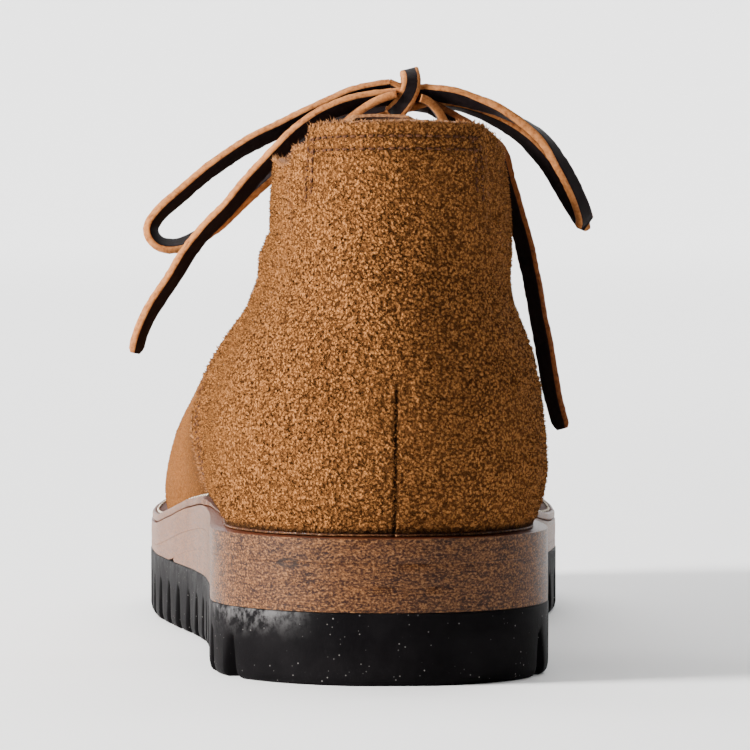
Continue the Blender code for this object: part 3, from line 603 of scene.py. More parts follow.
EDGE_SIDES = (3, 4, 5, 6, 10, 11, 12, 13)
BROAD_EDGE_SIDES = EDGE_SIDES + (0, 2, 7, 9)
BLUNT_END = (0.9, 0.62)


def strip(line, across, wide, thick, seed, rough=0.12, edges=EDGE_SIDES, blunt=True):
    """The places, faces and face kinds of a flat strip along a line, across being its width's
    direction. Kind 0 is its broad faces and kind 1 its cut edges."""
    along = unit(np.gradient(line, axis=0))
    across = square_to(across, along)
    face = np.cross(along, across)
    shape = section(wide, thick)
    size, count = len(shape), len(line)
    tapers = np.ones(count)
    if blunt:
        tapers[-2:] = BLUNT_END
    rings = []
    for k, taper in enumerate(tapers):
        wave = 1 + 0.03 * math.sin(0.21 * k + seed) + 0.02 * math.sin(0.53 * k + 2 * seed)
        rings.append([line[k] + across[k] * u * taper * wave + face[k] * v * taper
                      for u, v in shape])
    flat = np.array(rings).reshape(-1, 3)
    bumps = fuzz(flat, rough, 1.1, seed)
    flat = flat + unit(flat - np.repeat(line, size, axis=0)) * bumps[:, None]
    kinds = [int(s in edges) for s in range(size)] * (count - 1) + [1, 1]
    return flat, tube_faces(count, size), kinds


def joined(parts):
    """Several (places, faces, kinds) as one."""
    points, faces, kinds = [], [], []
    start = 0
    for p, f, k in parts:
        points.append(np.asarray(p))
        faces += [tuple(i + start for i in face) for face in f]
        kinds += list(k)
        start += len(p)
    return np.concatenate(points), faces, kinds


def rolled(line, name):
    """Width directions along a free lace: away from the view, rolled to one side of the bend."""
    along = unit(np.gradient(line, axis=0))
    back = square_to(np.broadcast_to(np.array([0.0, 1.0, 0.0]), along.shape), along)
    side = np.cross(along, back)
    table = np.array(ROLL[name], float)
    angle = np.interp(np.linspace(0, 1, len(line)), table[:, 0], table[:, 1])
    angle = np.radians(angle)[:, None]
    return back * np.cos(angle) + side * np.sin(angle)


def make_free_lace(name, materials):
    """One free part of the lace, hanging from the knot."""
    route = ROUTES[name]
    line = smooth_route(route, 1.0)
    seed = 1.7 * len(route)
    points, faces, kinds = strip(line, rolled(line, name), LACE_WIDE, LACE_THICK, seed)
    thing = add_mesh(name.replace("lace", "strap"), points, faces, materials, kinds, 50)
    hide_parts(name)


def lace_start(name, end=0):
    """Where a free lace leaves the knot, and its width's direction there."""
    line = smooth_route(ROUTES[name], 1.0)
    return line[end], rolled(line, name)[end]


# The knot's turn leans to the inner side at its top: its shift in x for its height, as a curve.
KNOT_BEND = (0.25, 0.388, -0.0645)
KNOT_LACE = (4.7, 1.9)
# Which laces' ends (0 the first, -1 the last) are joined through the knot.
KNOT_STRANDS = (
    (("lace_end_outer", 0), ("lace_loop_inner", 0)),
    (("lace_loop_outer", 0), ("lace_loop_inner", -1)),
    (("lace_loop_outer", -1), ("lace_end_inner", 0)),
)


def make_knot(materials):
    """One turn of the lace round the crossing strands, upright and leaning a little."""
    turn = np.linspace(0, 2 * math.pi, 49)
    up = 4.9 * np.cos(turn)
    shift = KNOT_BEND[0] + KNOT_BEND[1] * up + KNOT_BEND[2] * up ** 2
    slope = KNOT_BEND[1] + 2 * KNOT_BEND[2] * up
    line = np.array(KNOT_AT) + np.stack([shift, 5.0 * np.sin(turn), up], axis=1)
    across = unit(np.stack([np.ones(len(turn)), 0.25 * np.cos(turn), -slope], axis=1))
    parts = [strip(line, across, *KNOT_LACE, 3.1, 0.10, BROAD_EDGE_SIDES, False)]
    # the strands that the turn holds together
    t = np.linspace(0, 1, 13)[:, None]
    for k, (from_lace, to_lace) in enumerate(KNOT_STRANDS):
        (start, here), (end, there) = lace_start(*from_lace), lace_start(*to_lace)
        run = unit(end - start) * 0.8
        line = mix(start - run, end + run, t)
        there = there if here @ there > 0 else -there
        parts.append(strip(line, mix(here, there, t), *KNOT_LACE, 5.0 + k, 0.05, EDGE_SIDES, False))
    points, faces, kinds = joined(parts)
    thing = add_mesh("lace_knot_turn", points, faces, materials, kinds, 50)
    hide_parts("lace_knot")


def eyelet_places():
    """Share up the throat and distance across of each pair of holes."""
    shares = [k / (EYELET_PAIRS - 1) for k in range(EYELET_PAIRS)]
    return [(mix(*EYELET_SHARES, t), mix(*EYELET_ACROSS, t)) for t in shares]


# How deep the lace's last places lie in a hole, and how many of the crossing's own they replace.
HOLE_DEPTHS = (-3.6, -2.0, -0.4, 1.0)
HOLE_SKIP = 2
THROAT_LOOKS = (0.0, 0.62, 0.78)
# The gap between the facings: its half width below and above, and where and over what share it
# widens.
THROAT_HALF = (7.0, 11.5)
THROAT_WIDENS = (0.24, 0.56)


def lace_crossing(start, end, lift, seed):
    """The lace from one hole up, over the throat and down into another."""
    t = np.linspace(0, 1, 33)
    share = mix(start[0], end[0], t)
    across = mix(start[1], end[1], t)
    out = LACE_OVER + lift * np.sin(math.pi * t) ** 0.8
    edge = mix(*THROAT_HALF, ease((share - THROAT_WIDENS[0]) / THROAT_WIDENS[1])) + 1.0
    line, normal = instep_out(share, across, out)
    # between the facings' edges the lace runs straight across
    left, _ = instep_out(share, -edge, out)
    right, _ = instep_out(share, edge, out)
    between = (np.abs(across) < edge)[:, None]
    line = np.where(between, mix(left, right, ((across + edge) / (2 * edge))[:, None]), line)
    normal = unit(np.where(between, unit(np.array([THROAT_LOOKS])), normal))
    # both ends turn down into their holes
    first, last = ([instep_spot(s, a, depth)[0] for depth in HOLE_DEPTHS] for s, a in (start, end))
    inner = slice(HOLE_SKIP, -HOLE_SKIP)
    whole = np.array(first + list(line[inner]) + last[::-1])
    normals = np.array([normal[0]] * len(first) + list(normal[inner]) + [normal[-1]] * len(last))
    relax(whole, 3)
    fine = evenly(whole, 1.0)
    shares = np.linspace(0, 1, len(fine))
    normals = unit(at_along(shares, np.linspace(0, 1, len(whole)), normals))
    # near the holes the strip's face looks out along the facing, so the width is read from the
    # crossing's own run
    run = unit(fine[-6] - fine[5])
    width = unit(np.cross(np.broadcast_to(run, fine.shape), normals))
    width = square_to(width, unit(np.gradient(fine, axis=0)))
    steps = np.arange(len(fine))
    squeeze = np.clip(np.minimum(steps, steps[::-1]) / 6.0, 0.62, 1.0)
    points, faces, kinds = strip(fine, width, LACE_WIDE, LACE_THICK, seed, 0.08)
    size = len(points) // len(fine)
    middle = np.repeat(fine, size, axis=0)
    points = middle + (points - middle) * np.repeat(squeeze, size)[:, None]
    return points, faces, kinds


# The last strands up to the knot, by side: how they leave the hole, then two places on the way in.
ARCHES = {
    -1: ((3.0, -2.0, 12.0), (-3.8, 113.4, 133.4), (6.2, 112.6, 134.4)),
    1: ((-2.0, -2.0, 12.0), (18.0, 113.4, 132.8), (11.8, 112.6, 133.6)),
}


def make_crossings(materials):
    """The straight bar, the crossings above it, and the two strands up to the knot."""
    holes = eyelet_places()
    parts = [lace_crossing((holes[0][0], -holes[0][1]), holes[0], 0.3, 0.4)]
    for k, (low, high) in enumerate(zip(holes, holes[1:])):
        for sign, lift in ((-1, 0.2), (1, 2.2)):
            ends = (low[0], sign * low[1]), (high[0], -sign * high[1])
            parts.append(lace_crossing(*ends, lift, 1.3 * k + sign))
    share, across = holes[-1]
    t = np.linspace(0.08, 1, 26)[:, None]
    for sign, (hold, bend, last) in ARCHES.items():
        downs = [instep_spot(share, sign * across, depth)[0] for depth in (-3.0, -1.0, 1.0, 2.6)]
        start, normal = instep_spot(share, sign * across, 3.2)
        first = start + np.array(hold)
        curve = ((1 - t) ** 3 * start + 3 * t * (1 - t) ** 2 * first
                 + 3 * t * t * (1 - t) * np.array(bend) + t ** 3 * np.array(last))
        line = np.concatenate([np.array(downs), curve])
        relax(line, 2)
        line = evenly(line, 1.0)
        flat = np.cross(unit(line[6] - line[2]), normal)
        flat = flat if flat[1] > 0 else -flat
        upright = ease(np.linspace(-0.3, 1.3, len(line)))[:, None]
        width = mix(flat, np.array([0.0, 1.0, 0.0]), upright)
        parts.append(strip(line, width, 4.3, LACE_THICK, 4.4 + sign, 0.08, EDGE_SIDES, False))
    points, faces, kinds = joined(parts)
    thing = add_mesh("lace_crossings", points, faces, materials, kinds, 50)
    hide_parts("lace_bars")


# ---- the upper: one wall of rough leather ----

QUARTER_TURNS = np.unique(np.concatenate([
    [0, 0.005, 0.011, 0.019, 0.029], np.linspace(0.039, 1, 96), [0.555, 0.560, 0.566],
    [0.655, 0.6625, 0.670, 0.795, 0.800, 0.806],
    1 + np.linspace(0, 1, 104)[1:-1], [1.988, 1.994, 2.0]]))
VAMP_TURNS = np.concatenate([np.linspace(0, 1, 24), 1 + np.linspace(0, 1, 62)[1:]])
SEAM_ROWS = 80
SEAM_ROW_AT = np.linspace(0, SEAM_TOP, SEAM_ROWS)
FACING_ROW_AT = np.linspace(SEAM_TOP, SEAM_TOP + FACING_SPAN, 50)[1:]
ALL_ROWS = np.concatenate([SEAM_ROW_AT, FACING_ROW_AT])
# The seam up the middle of the back: its top, how deep and how wide it is drawn in, and how wide
# its painted shade is.
BACK_SEAM_TOP = 69.0
BACK_SEAM_DEEP = 0.75
BACK_SEAM_HALF = 0.34
BACK_SEAM_SHADE = 0.55
INSIDE_EVERY = 6

# Soft creases, each along a few (y, z) places on one side: depth and width in mm. Beside each
# lies a ridge, this share as high, this many widths away.
RIDGE_SHARE = 0.45
RIDGE_AT = 1.6
CREASES = (
    ("outer", ((124, 101), (110, 93), (96, 88), (82, 86)), 1.1, 4.5),
    ("outer", ((120, 86), (106, 79), (92, 76)), 0.7, 5.0),
    ("inner", ((124, 100), (112, 92), (98, 87), (86, 86)), 1.0, 4.5),
    ("inner", ((116, 84), (104, 78), (92, 74)), 0.6, 5.0),
    ("outer", ((206, 36), (210, 52), (207, 66)), 0.6, 4.0),
    ("inner", ((208, 38), (213, 54), (209, 66)), 0.6, 4.0),
    ("outer", ((194, 44), (198, 60), (196, 72)), 0.4, 4.0),
    ("inner", ((196, 46), (200, 60), (197, 72)), 0.4, 4.0),
)


def crease_depth(points, side):
    """How far the creases draw the leather in at each place."""
    total = np.zeros(points.shape[:-1])
    yz = points[..., 1:]
    for crease_side, line, depth, width in CREASES:
        if crease_side != side:
            continue
        line = np.array(line, float)
        best = np.full(total.shape, 1e9)
        fade = np.zeros(total.shape)
        count = len(line) - 1
        for k, (a, b) in enumerate(zip(line, line[1:])):
            t = np.clip(((yz - a) @ (b - a)) / ((b - a) @ (b - a)), 0, 1)
            gap = np.linalg.norm(yz - (a + t[..., None] * (b - a)), axis=-1)
            nearer = gap < best
            best = np.where(nearer, gap, best)
            fade = np.where(nearer, np.sin(math.pi * np.clip((k + t) / count, 0.04, 0.96)), fade)
        ridge = RIDGE_SHARE * near_to(best, RIDGE_AT * width, width)
        total += depth * fade * (near_to(best, 0, width) - ridge)
    return total


# The turned-out foot is this share of its full thickness round the heel, and thickens here.
FOOT_THIN = 0.2
FOOT_THICKENS_Y = (98, 124)
# How far the quarter stands out of the last, and what its front edge and the strip add.
QUARTER_PROUD = 0.5
FRONT_PROUD = 0.7
STRIP_PROUD = 0.9


def foot_thick(y):
    """The thickness of the leather's turned-out foot: nearly nothing round the heel."""
    return FLANGE_THICK * mix(FOOT_THIN, 1.0, ease_between(y, FOOT_THICKENS_Y))


def proud_of(turn, points, side):
    """How far a quarter's leather stands out of the last: more at its front edge, and at the
    strip behind."""
    share = turn - 1
    out = QUARTER_PROUD + FRONT_PROUD * ease((share - 0.45) / 0.45)
    up = ease((points[..., 2] - STRIP_FROM) / STRIP_FADE)
    return out + STRIP_PROUD * up * (turn <= STRIP_EDGE[side])


# Rows of stitches: the strip's by turn, with how far down they reach, the collar's by rows below
# its top, and the front edge's by turn back from it.
STRIP_STITCHES = {"outer": (0.655, 0.612), "inner": (0.522, 0.468)}
STRIP_STITCH_DEEP = (4.8, 4.3)
TOP_STITCHES = (0.85, 1.62)
EDGE_STITCHES = (0.030, 0.058)
STITCH_PULL = 0.30


def near_to(value, at, width):
    return np.exp(-((value - at) / width) ** 2)


def sewn_lines(turn, row, side):
    """Where a quarter's leather is drawn down by its rows of stitches."""
    top = ALL_ROWS[-1]
    total = np.zeros(turn.shape)
    for at, deep in zip(STRIP_STITCHES[side], STRIP_STITCH_DEEP):
        total = np.maximum(total, near_to(turn, at, 0.011) * (row > top - deep))
    for down in TOP_STITCHES:
        total = np.maximum(total, near_to(row - top, -down, 0.15) * (turn < 0.62))
    for back in EDGE_STITCHES:
        total = np.maximum(total, near_to(turn - 2.0, -back, 0.005) * (row > 1.0))
    return total


def directions(base, side):
    """Directions straight out of a surface, level along its foot."""
    out = np.cross(np.gradient(base, axis=1), np.gradient(base, axis=0)) * SIGN[side]
    out[0, :, 2] = 0.0
    return out


def quarter_block(side):
    """Places, outward directions, how far out they stand and their marks, for one quarter."""
    turn, row = np.meshgrid(QUARTER_TURNS, ALL_ROWS, indexing="xy")
    base = quarter(side, turn, row)
    out = unit(directions(base, side))
    x, y, z = base[..., 0], base[..., 1], base[..., 2]
    swell = fuzz(base, 0.35, 22.0, 5.0) * np.clip((2.0 - turn) * 6, 0, 1) * np.clip(turn * 6, 0, 1)
    nap = fuzz(base, 0.16, 1.25, 3.0) + fuzz(base, 0.14, 3.4, 9.0) + swell
    width = np.abs(x - last_centre(y, z))
    at_seam = ease((BACK_SEAM_TOP - z) / 3.0) * (turn < 0.2)
    groove = BACK_SEAM_DEEP * near_to(width, 0, BACK_SEAM_HALF) * at_seam
    sewn = sewn_lines(turn, row, side)
    lift = proud_of(turn, base, side) + nap - groove
    lift = lift - STITCH_PULL * sewn - crease_depth(base, side)
    edge = np.maximum(np.clip((row - (ALL_ROWS[-1] - 0.35)) / 0.35, 0, 1),
                      np.clip((turn - 1.985) / 0.015, 0, 1))
    edge = np.maximum(edge, near_to(turn, STRIP_EDGE[side], 0.008) * ease((z - 104) / 5))
    # painted shade above the ledge, in the back seam's groove, along stitches and by the front edge
    at_foot = 1 - ease((z - feather(y) - foot_thick(y) - 0.7) / 1.2)
    in_front = np.clip((turn - 1.955) / 0.045, 0, 1) * (row < SEAM_TOP)
    back_seam = near_to(width, 0, BACK_SEAM_SHADE) * at_seam
    shade = np.maximum(np.maximum(back_seam, at_foot), np.maximum(0.62 * sewn, 0.35 * in_front))
    marks = {"raw_edge": edge, "painted_shade": shade, "smooth_side": np.zeros(turn.shape)}
    return base, out, lift, marks


TOE_WALL_ROWS = 18
# From which turn on the toe's wall is evened out, and over how much turn that sets in.
TOE_WALL_TURNS = (1.74, 0.14)
TOE_WALL_BOW = 0.5
VAMP_FULLER = 1.3


def vamp_block(side):
    """The same for one side of the vamp."""
    turn, row = np.meshgrid(VAMP_TURNS, SEAM_ROW_AT, indexing="xy")
    base = vamp(side, turn, row)
    # the toe's steep front: even steps from the foot up, where the fan's own rows crowd together
    rows = slice(0, TOE_WALL_ROWS + 1)
    share = (np.arange(TOE_WALL_ROWS + 1) / TOE_WALL_ROWS)[:, None, None]
    wall = mix(base[:1], base[TOE_WALL_ROWS:TOE_WALL_ROWS + 1], share)
    wall[..., 1] += TOE_WALL_BOW * np.sin(math.pi * share[..., 0])
    front = ease((VAMP_TURNS - TOE_WALL_TURNS[0]) / TOE_WALL_TURNS[1])[None, :, None]
    base[rows] = mix(base[rows], wall, front)
    out = directions(base, side)
    out[:, -1, 0] = 0.0
    # a direction that points back into the toe is turned round
    y, z = base[..., 1], base[..., 2]
    within = np.stack([last_centre(y, z), np.minimum(y, 240.0), np.full(turn.shape, 24.0)], axis=-1)
    out = unit(out * np.where(((base - within) * out).sum(-1, keepdims=True) < 0, -1.0, 1.0))
    nap = fuzz(base, 0.05, 1.3, 3.0) + fuzz(base, 0.10, 4.0, 9.0)
    lift = nap * np.clip(turn * 8, 0.2, 1) - crease_depth(base, side)
    if side == "outer":
        full = np.sin(math.pi * np.clip((row - 1.5) / 8.5, 0, 1)) ** 2
        lift = lift + VAMP_FULLER * full * ease(turn / 0.3) * (1 - ease((turn - 0.9) / 0.6))
    # painted shade on the vamp beside the quarter's proud front edge
    marks = {
        "raw_edge": np.clip((row - 8.9) / 0.1, 0, 1),
        "painted_shade": np.maximum(near_to(turn, 0, 0.075), 0.8 * near_to(turn, 0, 0.50)),
        "smooth_side": np.clip(turn * 12, 0, 1),
    }
    return base, out, lift, marks


def upper_columns(blocks):
    """Columns round the boot, from one facing back round the heel to the other, then round the
    toe."""
    turns, rounds = len(QUARTER_TURNS), len(VAMP_TURNS)
    for name, picks in (("outer", range(turns - 1, 0, -1)), ("inner", range(turns)),
                        ("vamp_inner", range(rounds)), ("vamp_outer", range(rounds - 2, -1, -1))):
        base, out, lift, marks = blocks[name]
        for k in picks:
            yield base[:, k], out[:, k], lift[:, k], {m: v[:, k] for m, v in marks.items()}


# The turned-out foot of the leather from the wall to its edge: share of its reach, and height.
FLANGE_STEPS = ((0.18, 2.42), (0.4, 2.16), (0.65, 2.04), (0.86, 2.0), (0.97, 1.85), (1.0, 1.5),
                (1.0, 0.35), (0.95, 0.0))
LEDGE_STEPS = 3
# The order of the upper's materials.
SUEDE, INSIDE, RAW, LAYERS, LEDGE = range(5)


def make_upper(blocks, materials):
    """The upper's outside, inside, turned-out foot and top edge as one closed wall."""
    points, marks = [], {name: [] for name in MARKS}
    outer, inner, flange, brim = [], [], [], []

    def put(places, values=None):
        first = len(points)
        points.extend(np.asarray(places).reshape(-1, 3).tolist())
        size = len(points) - first
        for name in marks:
            own = [0.0] * size if values is None else np.asarray(values[name]).tolist()
            marks[name].extend(own)
        return list(range(first, first + size))

    for base, out, lift, values in upper_columns(blocks):
        rows = len(base)
        tall = rows > SEAM_ROWS
        place = base + out * lift[:, None]
        thick = float(foot_thick(base[0, 1]))
        foot_rise = thick * 1.3
        place[0] = place[0] + np.array([0, 0, foot_rise])
        short = (place[:, 2] - base[0, 2]) < foot_rise
        short[0] = False
        place[short, 2] = base[0, 2] + foot_rise + 0.05 * np.arange(rows)[short]
        outer.append(put(place, values))
        keep = set(range(0, rows, INSIDE_EVERY)) | {rows - 1} | ({SEAM_ROWS - 1} if tall else set())
        keep = sorted(keep)
        inner.append(dict(zip(keep, put(base[keep] - out[keep] * LEATHER))))
        foot, side_out = base[0], out[0]
        reach = read(WALL_FOOT, "flange", foot[1]) + 0.12 * noise.noise(Vector(foot / 5.0))
        steps = []
        for share, rise in FLANGE_STEPS:
            tip = foot + side_out * (lift[0] + reach * share)
            low = feather(np.clip(tip[1], 0, SOLE_LENGTH))
            steps.append((tip[0], tip[1], low + rise * thick / FLANGE_THICK))
        flange.append(put(steps))
        top = place[-1] * 0.5 + (base[-1] - out[-1] * LEATHER) * 0.5
        bump = 0.35 + 0.25 * noise.noise(Vector(top * 0.7))
        top = top + np.array([0, 0, bump]) if tall else top
        brim.append(put(top, {name: [float(name == "raw_edge")] for name in marks})[0])
    faces, kinds = [], []

    def face(corners, kind):
        faces.append(tuple(corners))
        kinds.append(kind)

    count = len(outer)
    for j in range(count):
        k = (j + 1) % count
        rows = min(len(outer[j]), len(outer[k]))
        for i in range(rows - 1):
            face((outer[j][i], outer[k][i], outer[k][i + 1], outer[j][i + 1]), SUEDE)
        in_j, in_k = inner[j], inner[k]
        shared = [r for r in in_j if r in in_k and r < rows]
        for a, b in zip(shared[:-1], shared[1:]):
            face((in_j[a], in_j[b], in_k[b], in_k[a]), INSIDE)
        steps_j, steps_k = flange[j], flange[k]
        face((steps_j[0], steps_k[0], outer[k][0], outer[j][0]), SUEDE)
        for n in range(len(steps_j) - 1):
            face((steps_j[n + 1], steps_k[n + 1], steps_k[n], steps_j[n]),
                 LEDGE if n < LEDGE_STEPS else LAYERS)
        face((in_j[0], in_k[0], steps_k[-1], steps_j[-1]), LAYERS)
        top = rows - 1
        if len(outer[j]) == len(outer[k]):
            face((outer[j][top], outer[k][top], brim[k], brim[j]), RAW)
            face((brim[j], brim[k], in_k[top], in_j[top]), RAW)
            continue
        # the foot of the facing, where a tall column meets the vamp
        tall, low = (j, k) if len(outer[j]) > len(outer[k]) else (k, j)
        face([outer[j][top], outer[k][top]] + [brim[low]] * (low == k)
             + [in_k[top], in_j[top]] + [brim[low]] * (low == j), RAW)
        picks = [r for r in inner[tall] if r >= top]
        for a, b in zip(picks[:-1], picks[1:]):
            ring = outer[tall][a:b + 1] + [brim[tall]] * (b == picks[-1])
            ring += [inner[tall][b], inner[tall][a]]
            face(ring[::-1] if tall == j else ring, RAW)
    thing = add_mesh("upper_leather", points, faces, materials, kinds, 60)
    put_marks(thing, **marks)
    return thing


def punch_holes(upper):
    """Round holes through both facings."""
    parts = []
    turn = np.linspace(0, 2 * math.pi, 29)[:-1]
    size = len(turn)
    faces = [(k, (k + 1) % size, size + (k + 1) % size, size + k) for k in range(size)]
    faces += [tuple(reversed(range(size))), tuple(range(size, 2 * size))]
    for share, across in eyelet_places():
        for sign in (-1, 1):
            low, high = (instep_spot(share, sign * across, depth)[0] for depth in (-7.0, 7.0))
            axis = unit(high - low)
            u = unit(np.cross(axis, np.array([0.3, 0.5, 0.8])))
            v = np.cross(axis, u)
            ring = u * np.cos(turn)[:, None] * EYELET_HALF + v * np.sin(turn)[:, None] * EYELET_HALF
            parts.append((np.concatenate([low + ring, high + ring]), faces, [0] * len(faces)))
    points, faces, _ = joined(parts)
    mesh = bpy.data.meshes.new("hole_cutter")
    mesh.from_pydata(placed(points).tolist(), [], faces)
    cutter = new_object("hole_cutter", mesh)
    cut = upper.modifiers.new("holes", "BOOLEAN")
    cut.operation = "DIFFERENCE"
    cut.solver = "EXACT"
    cut.object = cutter
    graph = bpy.context.evaluated_depsgraph_get()
    made = bpy.data.meshes.new_from_object(upper.evaluated_get(graph))
    upper.modifiers.clear()
    if len(made.polygons) > 0.9 * len(upper.data.polygons):
        upper.data = made
    bpy.data.objects.remove(cutter)


# ---- nap, loose fibres and stitches ----

NAP_SUNK = 0.12


def tufts(places, outs, size, height, lean, sides=4):
    """Small pointed clumps of nap, each a ring sunk in the leather and a tip above it."""
    count = len(places)
    u = unit(np.cross(outs, np.array([0.21, 0.35, 0.91])))
    v = np.cross(outs, u)

    def beside(turn, reach):
        return places + u * (np.cos(turn) * reach)[:, None] + v * (np.sin(turn) * reach)[:, None]

    spin = rng.uniform(0, 2 * math.pi, count)
    radius = size * rng.uniform(0.7, 1.3, count)
    corners = []
    for k in range(sides):
        reach = radius * rng.uniform(0.75, 1.25, count)
        corners.append(beside(spin + 2 * math.pi * k / sides, reach) - outs * NAP_SUNK)
    way = rng.uniform(0, 2 * math.pi, count)
    slide = lean * rng.uniform(0.3, 1.3, count)
    rise = height * rng.uniform(0.55, 1.45, count)
    tips = beside(way, slide) + outs * rise[:, None]
    points = np.stack(corners + [tips], axis=1).reshape(-1, 3)
    first = np.arange(count) * (sides + 1)
    faces = [np.stack([first + k, first + (k + 1) % sides, first + sides], axis=1)
             for k in range(sides)]
    return points, np.concatenate(faces).tolist()


def surface_of(block):
    """The places of a block's own surface, with the leather's relief."""
    base, out, lift, _ = block
    return base + out * lift[..., None]


def scattered(block, count):
    """Places picked evenly over a block's surface clear of the ledge, and the directions there."""
    base, out = block[:2]
    place = surface_of(block)
    quad = place[:-1, :-1], place[:-1, 1:], place[1:, :-1], place[1:, 1:]
    area = np.linalg.norm(np.cross(quad[1] - quad[0], quad[2] - quad[0]), axis=-1)
    area = area * clear_of_ledge(base[:-1, :-1])
    cell = rng.choice(area.size, count, p=(area / area.sum()).ravel())
    s, t = rng.random(count)[:, None], rng.random(count)[:, None]
    a, b, c, d = (q.reshape(-1, 3)[cell] for q in quad)
    return mix_back(mix_back(a, b, s), mix_back(c, d, s), t), out[:-1, :-1].reshape(-1, 3)[cell]


def mix_back(a, b, t):
    return a * (1 - t) + b * t


def clear_of_ledge(points):
    y = points[..., 1]
    return (points[..., 2] - feather(y) > foot_thick(y) + 1.6).astype(float)


# Nap by block: how many clumps, and their size, height and lean in mm.
COARSE_NAP = (19500, 0.36, 0.50, 0.42)
FINE_NAP = (5200, 0.34, 0.16, 0.24)
NAP = {"outer": COARSE_NAP, "inner": COARSE_NAP, "vamp_outer": FINE_NAP, "vamp_inner": FINE_NAP}


def make_nap(blocks, suede):
    """The rough side's clumps of nap, coarse on the quarters and fine on the vamp."""
    parts = []
    for name, (count, size, height, lean) in NAP.items():
        spot, out = scattered(blocks[name], count)
        points, faces = tufts(spot, out, size, height, lean)
        parts.append((points, faces, [0] * len(faces)))
    points, faces, kinds = joined(parts)
    thing = add_mesh("leather_nap", points, faces, [suede], kinds)
    put_marks(thing, smooth_side=np.repeat([0.0, 0.0, 1.0, 1.0], [len(part[0]) for part in parts]))


def edge_lines(blocks):
    """The cut edges that fray, each as places, outward directions and how much it frays."""
    up, ahead = np.array([0, 0, 1.0]), np.array([0, 0.6, 0])
    seam, face = slice(1, SEAM_ROWS), slice(SEAM_ROWS, None)
    lines = []
    for side in SIGN:
        base, out = blocks[side][:2]
        place = surface_of(blocks[side])
        lines.append((place[-1], unit(out[-1] * 0.5 + up), 1.0))
        strip_at = int(np.argmin(np.abs(QUARTER_TURNS - STRIP_EDGE[side])))
        high = base[:, strip_at, 2] > STRIP_FROM
        lines.append((place[high, strip_at], unit(out[high, strip_at]), 1.0))
        lines.append((place[seam, -1], unit(out[seam, -1] + ahead), 0.7))
        lines.append((place[face, -1], unit(out[face, -1]), 0.8))
    return lines


# Fibres to a mm of edge, how many of them are long, and (long, short) size, height and lean in mm.
FIBRES_TO_MM = 5.5
LONG_FIBRES = 0.16
FIBRE_FORM = ((0.09, 0.24), (1.35, 0.55), (0.7, 0.25))


def make_fibres(blocks, material):
    """Loose fibres along the raw edges."""
    parts = []
    for line, outs, share in edge_lines(blocks):
        count = int(line_length(line) * FIBRES_TO_MM * share)
        walked = walked_along(line)
        at = rng.uniform(0, walked[-1], count)
        spot = at_along(at, walked, line)
        out = unit(at_along(at, walked, outs) + rng.normal(0, 0.35, (count, 3)))
        spot = spot + rng.normal(0, 0.22, (count, 3))
        long_ones = rng.random(count) < LONG_FIBRES
        points, faces = tufts(spot, out, *(np.where(long_ones, *form) for form in FIBRE_FORM), 3)
        parts.append((points, faces, [0] * len(faces)))
    points, faces, kinds = joined(parts)
    thing = add_mesh("edge_fibres", points, faces, [material], kinds)


# A stitch from one hole to the other: share of its length, height, and thickness.
STITCH_FORM = ((0.0, -0.55, 0.75), (0.10, -0.02, 1.0), (0.30, 0.8, 1.0), (0.5, 1.0, 1.0),
               (0.70, 0.8, 1.0), (0.90, -0.02, 1.0), (1.0, -0.55, 0.75))


def stitch_row(line, outs, pitch, long_part, radius, lift, seed):
    """Stitches along a line: short bowed threads whose ends go down into holes, painted as shade.
    """
    walked = walked_along(line)
    sides = 6
    ring = np.linspace(0, 2 * math.pi, sides + 1)[:-1]
    points, faces, kinds = [], [], []
    for n in range(int(walked[-1] / pitch)):
        start = n * pitch + 0.15 * math.sin(2.3 * n + seed)
        first = len(points)
        for share, up, fat in STITCH_FORM:
            at = start + long_part * pitch * share
            spot = at_along(at, walked, line)
            ahead = at_along(at + 0.4, walked, line) - spot
            out = unit(at_along(at, walked, outs))
            if np.linalg.norm(ahead) < 1e-6:
                ahead = np.array([0.0, 1.0, 0.0])
            side = unit(np.cross(unit(ahead), out))
            middle = spot + out * lift * up
            points += [middle + (side * math.cos(a) + out * math.sin(a)) * radius * fat
                       for a in ring]
        last = len(STITCH_FORM) - 2
        for s in range(last + 1):
            here, there = first + s * sides, first + (s + 1) * sides
            for k in range(sides):
                q = (k + 1) % sides
                faces.append((here + k, here + q, there + q, there + k))
                # the sunk ends take the holes' painted shade
                kinds.append(int(s in (0, last)))
    return np.array(points), faces, kinds


def quarter_line(blocks, side, turns, rows):
    """A line over a quarter's own surface, by turn and row."""
    place, out = surface_of(blocks[side]), blocks[side][1]
    turn_at = np.interp(turns, QUARTER_TURNS, np.arange(len(QUARTER_TURNS)))
    row_at = np.interp(rows, ALL_ROWS, np.arange(len(ALL_ROWS)))
    i = np.minimum(np.floor(row_at).astype(int), place.shape[0] - 2)
    j = np.minimum(np.floor(turn_at).astype(int), place.shape[1] - 2)
    u, v = (row_at - i)[:, None], (turn_at - j)[:, None]
    line, outs = (mix_back(mix_back(grid[i, j], grid[i, j + 1], v),
                           mix_back(grid[i + 1, j], grid[i + 1, j + 1], v), u)
                  for grid in (place, out))
    return line, unit(outs)


# Thread on the strip and collar, on the front edge, and on the welt: pitch, share of the pitch that
# is thread, radius and lift.
COLLAR_THREAD = (2.3, 0.70, 0.30, 0.30)
FRONT_THREAD = (2.7, 0.72, 0.32, 0.32)
WELT_THREAD = (3.3, 0.74, 0.30, 0.14)
WELT_FROM_Y = 118.0
WELT_IN = 2.0


